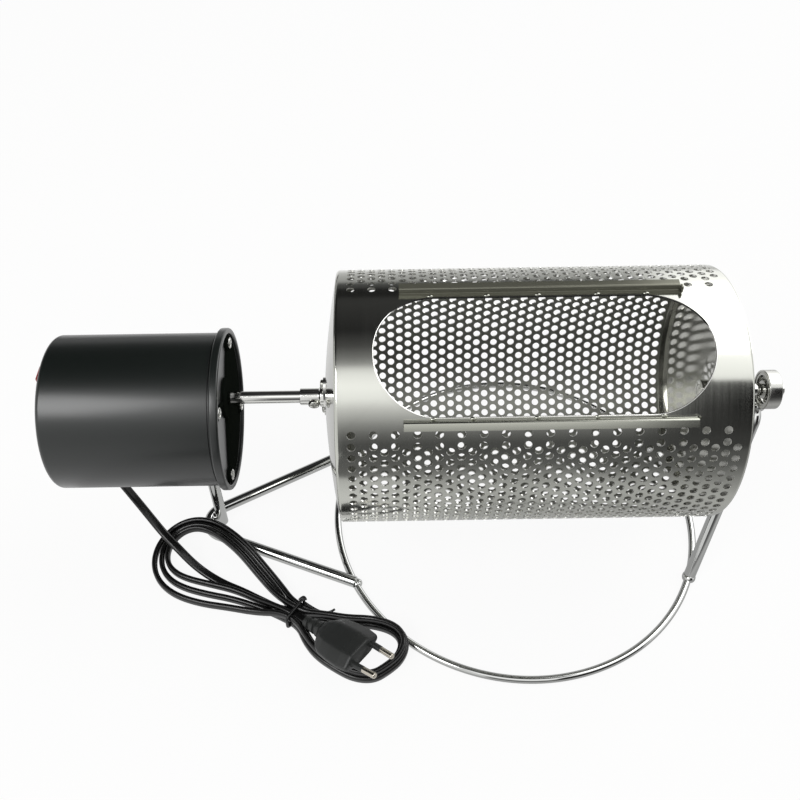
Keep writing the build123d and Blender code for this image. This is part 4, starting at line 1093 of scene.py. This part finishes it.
# What the metal shows: height over the front horizon in degrees, then how bright the room is there left of,
# in front of and right of the roaster. The rows go over the front wall, a bright window, a dark ceiling
# with a light on the right, and the back wall
ROOM_R = 2.2
ROOM_X = (-4.0, -0.5, -0.35, 0.74, 0.86, 4.0)
ROOM_LIGHT = (
    (-4.0, 0.90, 0.10, 0.06), (6.0, 0.90, 0.10, 0.06), (15.0, 0.90, 0.20, 0.04), (23.0, 0.90, 0.38, 0.03),
    (36.0, 0.95, 0.85, 0.01), (45.0, 1.00, 1.35, 0.03), (55.0, 1.00, 1.50, 0.08), (57.2, 0.90, 1.48, 1.42),
    (66.0, 0.60, 1.30, 1.52), (70.5, 0.40, 1.05, 1.60), (74.0, 0.28, 0.45, 1.66), (80.0, 0.12, 0.25, 1.72),
    (90.0, 0.03, 0.09, 1.40), (105.0, 0.02, 0.02, 1.40), (134.0, 0.02, 0.05, 2.20), (141.0, 0.02, 0.05, 2.30),
    (145.0, 0.02, 0.02, 2.30), (155.0, 0.02, 0.02, 2.20), (158.0, 0.05, 0.07, 1.90), (165.0, 0.06, 0.10, 1.70),
    (168.5, 0.35, 0.42, 1.60), (174.0, 0.45, 0.52, 1.50), (184.0, 0.50, 0.58, 1.40),
)
# Distance behind the axis, and how bright the metal shows the floor left of, under and right of the drum
FLOOR_X = (-0.25, -0.045, 0.04, 0.17, 0.26, 3.0)
FLOOR_LIGHT = (
    (-2.2, 0.11, 0.11, 0.11), (-0.6, 0.15, 0.16, 0.14), (-0.45, 0.17, 0.25, 0.18), (-0.375, 0.19, 0.35, 0.24),
    (-0.335, 0.68, 0.42, 0.27), (-0.25, 0.78, 0.55, 0.38), (-0.19, 0.86, 0.60, 0.46), (-0.15, 0.86, 0.54, 0.58),
    (-0.10, 0.78, 0.50, 0.60), (-0.05, 0.66, 0.48, 0.50), (0.0, 0.60, 0.48, 0.48), (0.15, 0.70, 0.70, 0.70),
    (0.30, 0.92, 0.92, 0.92),
)
# The same behind the roaster, with a level at each place along the drum
BACK_X = (-4.0, -0.3, -0.2, 0.66)
BACK_LIGHT = ((0.45, 0.92, 0.92, 0.92, 0.92), (0.9, 0.12, 0.12, 0.65, 0.65), (2.2, 0.12, 0.12, 0.60, 0.60))


def seen_share(tree):
    """Socket that is 1 for rays from the camera, off mirrors and through glass, and 0 for scattered light."""
    rays = add_node(tree, "LightPath")
    share = 0.0
    for ray in ("Is Camera Ray", "Is Glossy Ray", "Is Transmission Ray"):
        share = add_node(tree, "Math", {0: share, 1: rays.outputs[ray]}, operation="ADD",
                         use_clamp=True).outputs[0]
    return share


class ROASTER_OT_stage(bpy.types.Operator):
    """White floor, lights and camera"""

    bl_idname = "roaster.stage"
    bl_label = "Stage"

    def execute(self, context):
        """Lay the floor, hang the lights and a dark ceiling for the metal to show, and set the camera."""
        scene = context.scene
        s = scene.roaster_stage
        scene.view_settings.view_transform = "Standard"

        # Matt paper that looks nearly pure white by itself and still takes soft shadows
        floor = finish("white paper", s.floor_colour, 0.0, 0.9, Specular_IOR_Level=0.0)
        tree = floor.node_tree
        share = add_node(tree, "Math", {0: seen_share(tree), 1: 0.92}, operation="MULTIPLY")
        white = add_node(tree, "Emission", {"Color": WHITE, "Strength": 1.0})
        mix = add_node(tree, "MixShader", {0: share.outputs[0], 2: white.outputs[0],
                                                     1: tree.nodes[SHADER].outputs[0]})
        feed(tree, "Material Output", "Surface", mix.outputs[0])
        reach, under = 6.0, -0.2 * MM
        self.card("floor", [(-reach, -reach, under), (reach, -reach, under), (reach, reach, under),
                            (-reach, reach, under)], floor)

        light = self.card_light()
        elevation, *sides = np.array(ROOM_LIGHT).T
        angle = np.radians(elevation)
        walls = np.stack([-ROOM_R * np.cos(angle), AXIS_Z + ROOM_R * np.sin(angle)], -1)
        self.mirror_card("room", ROOM_X, walls, np.repeat(sides, 2, 0).T, light)
        near, *sides = np.array(FLOOR_LIGHT).T
        front = np.stack([near, 0 * near], -1)
        self.mirror_card("front floor", FLOOR_X, front, np.repeat(sides, 2, 0).T, light)
        far, *levels = np.array(BACK_LIGHT).T
        self.mirror_card("back floor", BACK_X, np.stack([far, 0 * far], -1), np.array(levels).T, light)

        world = bpy.data.worlds.new("white room")
        scene.world = world
        world.use_nodes = True
        tree = world.node_tree
        tree.nodes["Background"].inputs["Color"].default_value = WHITE
        level = add_node(tree, "MapRange",
                         {"Value": seen_share(tree), "To Min": 0.45, "To Max": 1.0})
        feed(tree, "Background", "Strength", level.outputs["Result"])

        self.lamp("front softbox", (-0.98, -0.95, 1.62), (-0.1, 0.0, 0.15), 0.8, 15.0)
        self.lamp("right softbox", (1.15, 0.55, 1.75), (0.1, 0.0, 0.15), 1.5, 15.0)

        camera = bpy.data.cameras.new("camera")
        camera.sensor_width = 36.0
        camera.lens = s.focal / IMAGE_SIDE * camera.sensor_width
        camera.shift_x = (IMAGE_SIDE / 2 - s.centre_u) / IMAGE_SIDE
        camera.shift_y = (s.centre_v - IMAGE_SIDE / 2) / IMAGE_SIDE
        camera.clip_start = 0.01
        obj = add_object("camera", camera)
        place = Matrix.Translation((s.camera_x, -s.distance * math.cos(s.elevation),
                                    AXIS_Z + s.distance * math.sin(s.elevation)))
        tip = Matrix.Rotation(math.pi / 2 - s.elevation, 4, "X")
        obj.matrix_world = place @ tip @ Matrix.Rotation(s.roll, 4, "Z")
        scene.camera = obj
        return {"FINISHED"}

    def card(self, name, corners, material, faces=((0, 1, 2, 3),)):
        """Stage piece of flat faces."""
        mesh = bpy.data.meshes.new(name)
        mesh.from_pydata(corners, [], faces)
        mesh.materials.append(material)
        obj = add_object(name, mesh)
        return obj

    def card_light(self):
        """Glow of a card that only reflections show, as bright as its own attribute says."""
        material = bpy.data.materials.new("card light")
        material.use_nodes = True
        tree = material.node_tree
        tree.nodes.remove(tree.nodes[SHADER])
        level = add_node(tree, "Attribute", attribute_name="glow")
        light = add_node(tree, "Emission", {"Color": WHITE, "Strength": level.outputs["Fac"]})
        feed(tree, "Material Output", "Surface", light.outputs[0])
        return material

    def mirror_card(self, name, places, rows, levels, material):
        """Card for reflections: each row of (y, z) is drawn out through the places along the drum."""
        shape = (len(rows), len(places))
        points = np.concatenate([np.broadcast_to(np.array(places)[:, None], (*shape, 1)),
                                 np.broadcast_to(rows[:, None], (*shape, 2))], -1)
        corners, faces = grid(points)
        obj = self.card(name, corners.tolist(), material, faces.tolist())
        glow = obj.data.attributes.new("glow", "FLOAT", "POINT")
        glow.data.foreach_set("value", np.asarray(levels, float).ravel())
        obj.visible_camera = False
        obj.visible_diffuse = False
        obj.visible_shadow = False

    def lamp(self, name, place, target, size, power):
        """Square area lamp that looks at a target."""
        data = bpy.data.lights.new(name, "AREA")
        data.size = size
        data.energy = power
        back = unit(np.array(place) - np.array(target))
        turn_to = Matrix(np.stack([*across(back), back], 1).tolist()).to_4x4()
        add_object(name, data).matrix_world = Matrix.Translation(place) @ turn_to


OPERATORS = (ROASTER_OT_stage, ROASTER_OT_plug, ROASTER_OT_cord, ROASTER_OT_drum_sheet, ROASTER_OT_drum_ends,
             ROASTER_OT_rails, ROASTER_OT_stand, ROASTER_OT_bearing, ROASTER_OT_motor, ROASTER_OT_switch)


class ROASTER_PT_panel(bpy.types.Panel):
    """Lists the pieces of the roaster"""

    bl_idname = "ROASTER_PT_panel"
    bl_label = "Drum coffee roaster"
    bl_space_type = "VIEW_3D"
    bl_region_type = "UI"
    bl_category = "Roaster"

    def draw(self, context):
        """One button for each operator."""
        for operator in OPERATORS:
            self.layout.operator(operator.bl_idname)


SETTINGS = {"roaster_drum": RoasterDrum, "roaster_stand": RoasterStand, "roaster_motor": RoasterMotor,
            "roaster_cord": RoasterCord, "roaster_stage": RoasterStage}
CLASSES = (*SETTINGS.values(), *OPERATORS, ROASTER_PT_panel)


def register():
    """Register the settings, the operators and the panel."""
    for item in CLASSES:
        bpy.utils.register_class(item)
    for name, group in SETTINGS.items():
        setattr(bpy.types.Scene, name, PointerProperty(type=group))


def unregister():
    """Take everything back in the opposite order."""
    for name in SETTINGS:
        delattr(bpy.types.Scene, name)
    for item in reversed(CLASSES):
        bpy.utils.unregister_class(item)


def main():
    """Dress the frame piece by piece."""
    register()
    bpy.ops.roaster.stage()
    bpy.ops.roaster.plug()
    bpy.ops.roaster.cord()
    bpy.ops.roaster.drum_sheet()
    bpy.ops.roaster.drum_ends()
    bpy.ops.roaster.rails()
    bpy.ops.roaster.stand()
    bpy.ops.roaster.bearing()
    bpy.ops.roaster.motor()
    bpy.ops.roaster.switch()


if __name__ == "__main__":
    main()
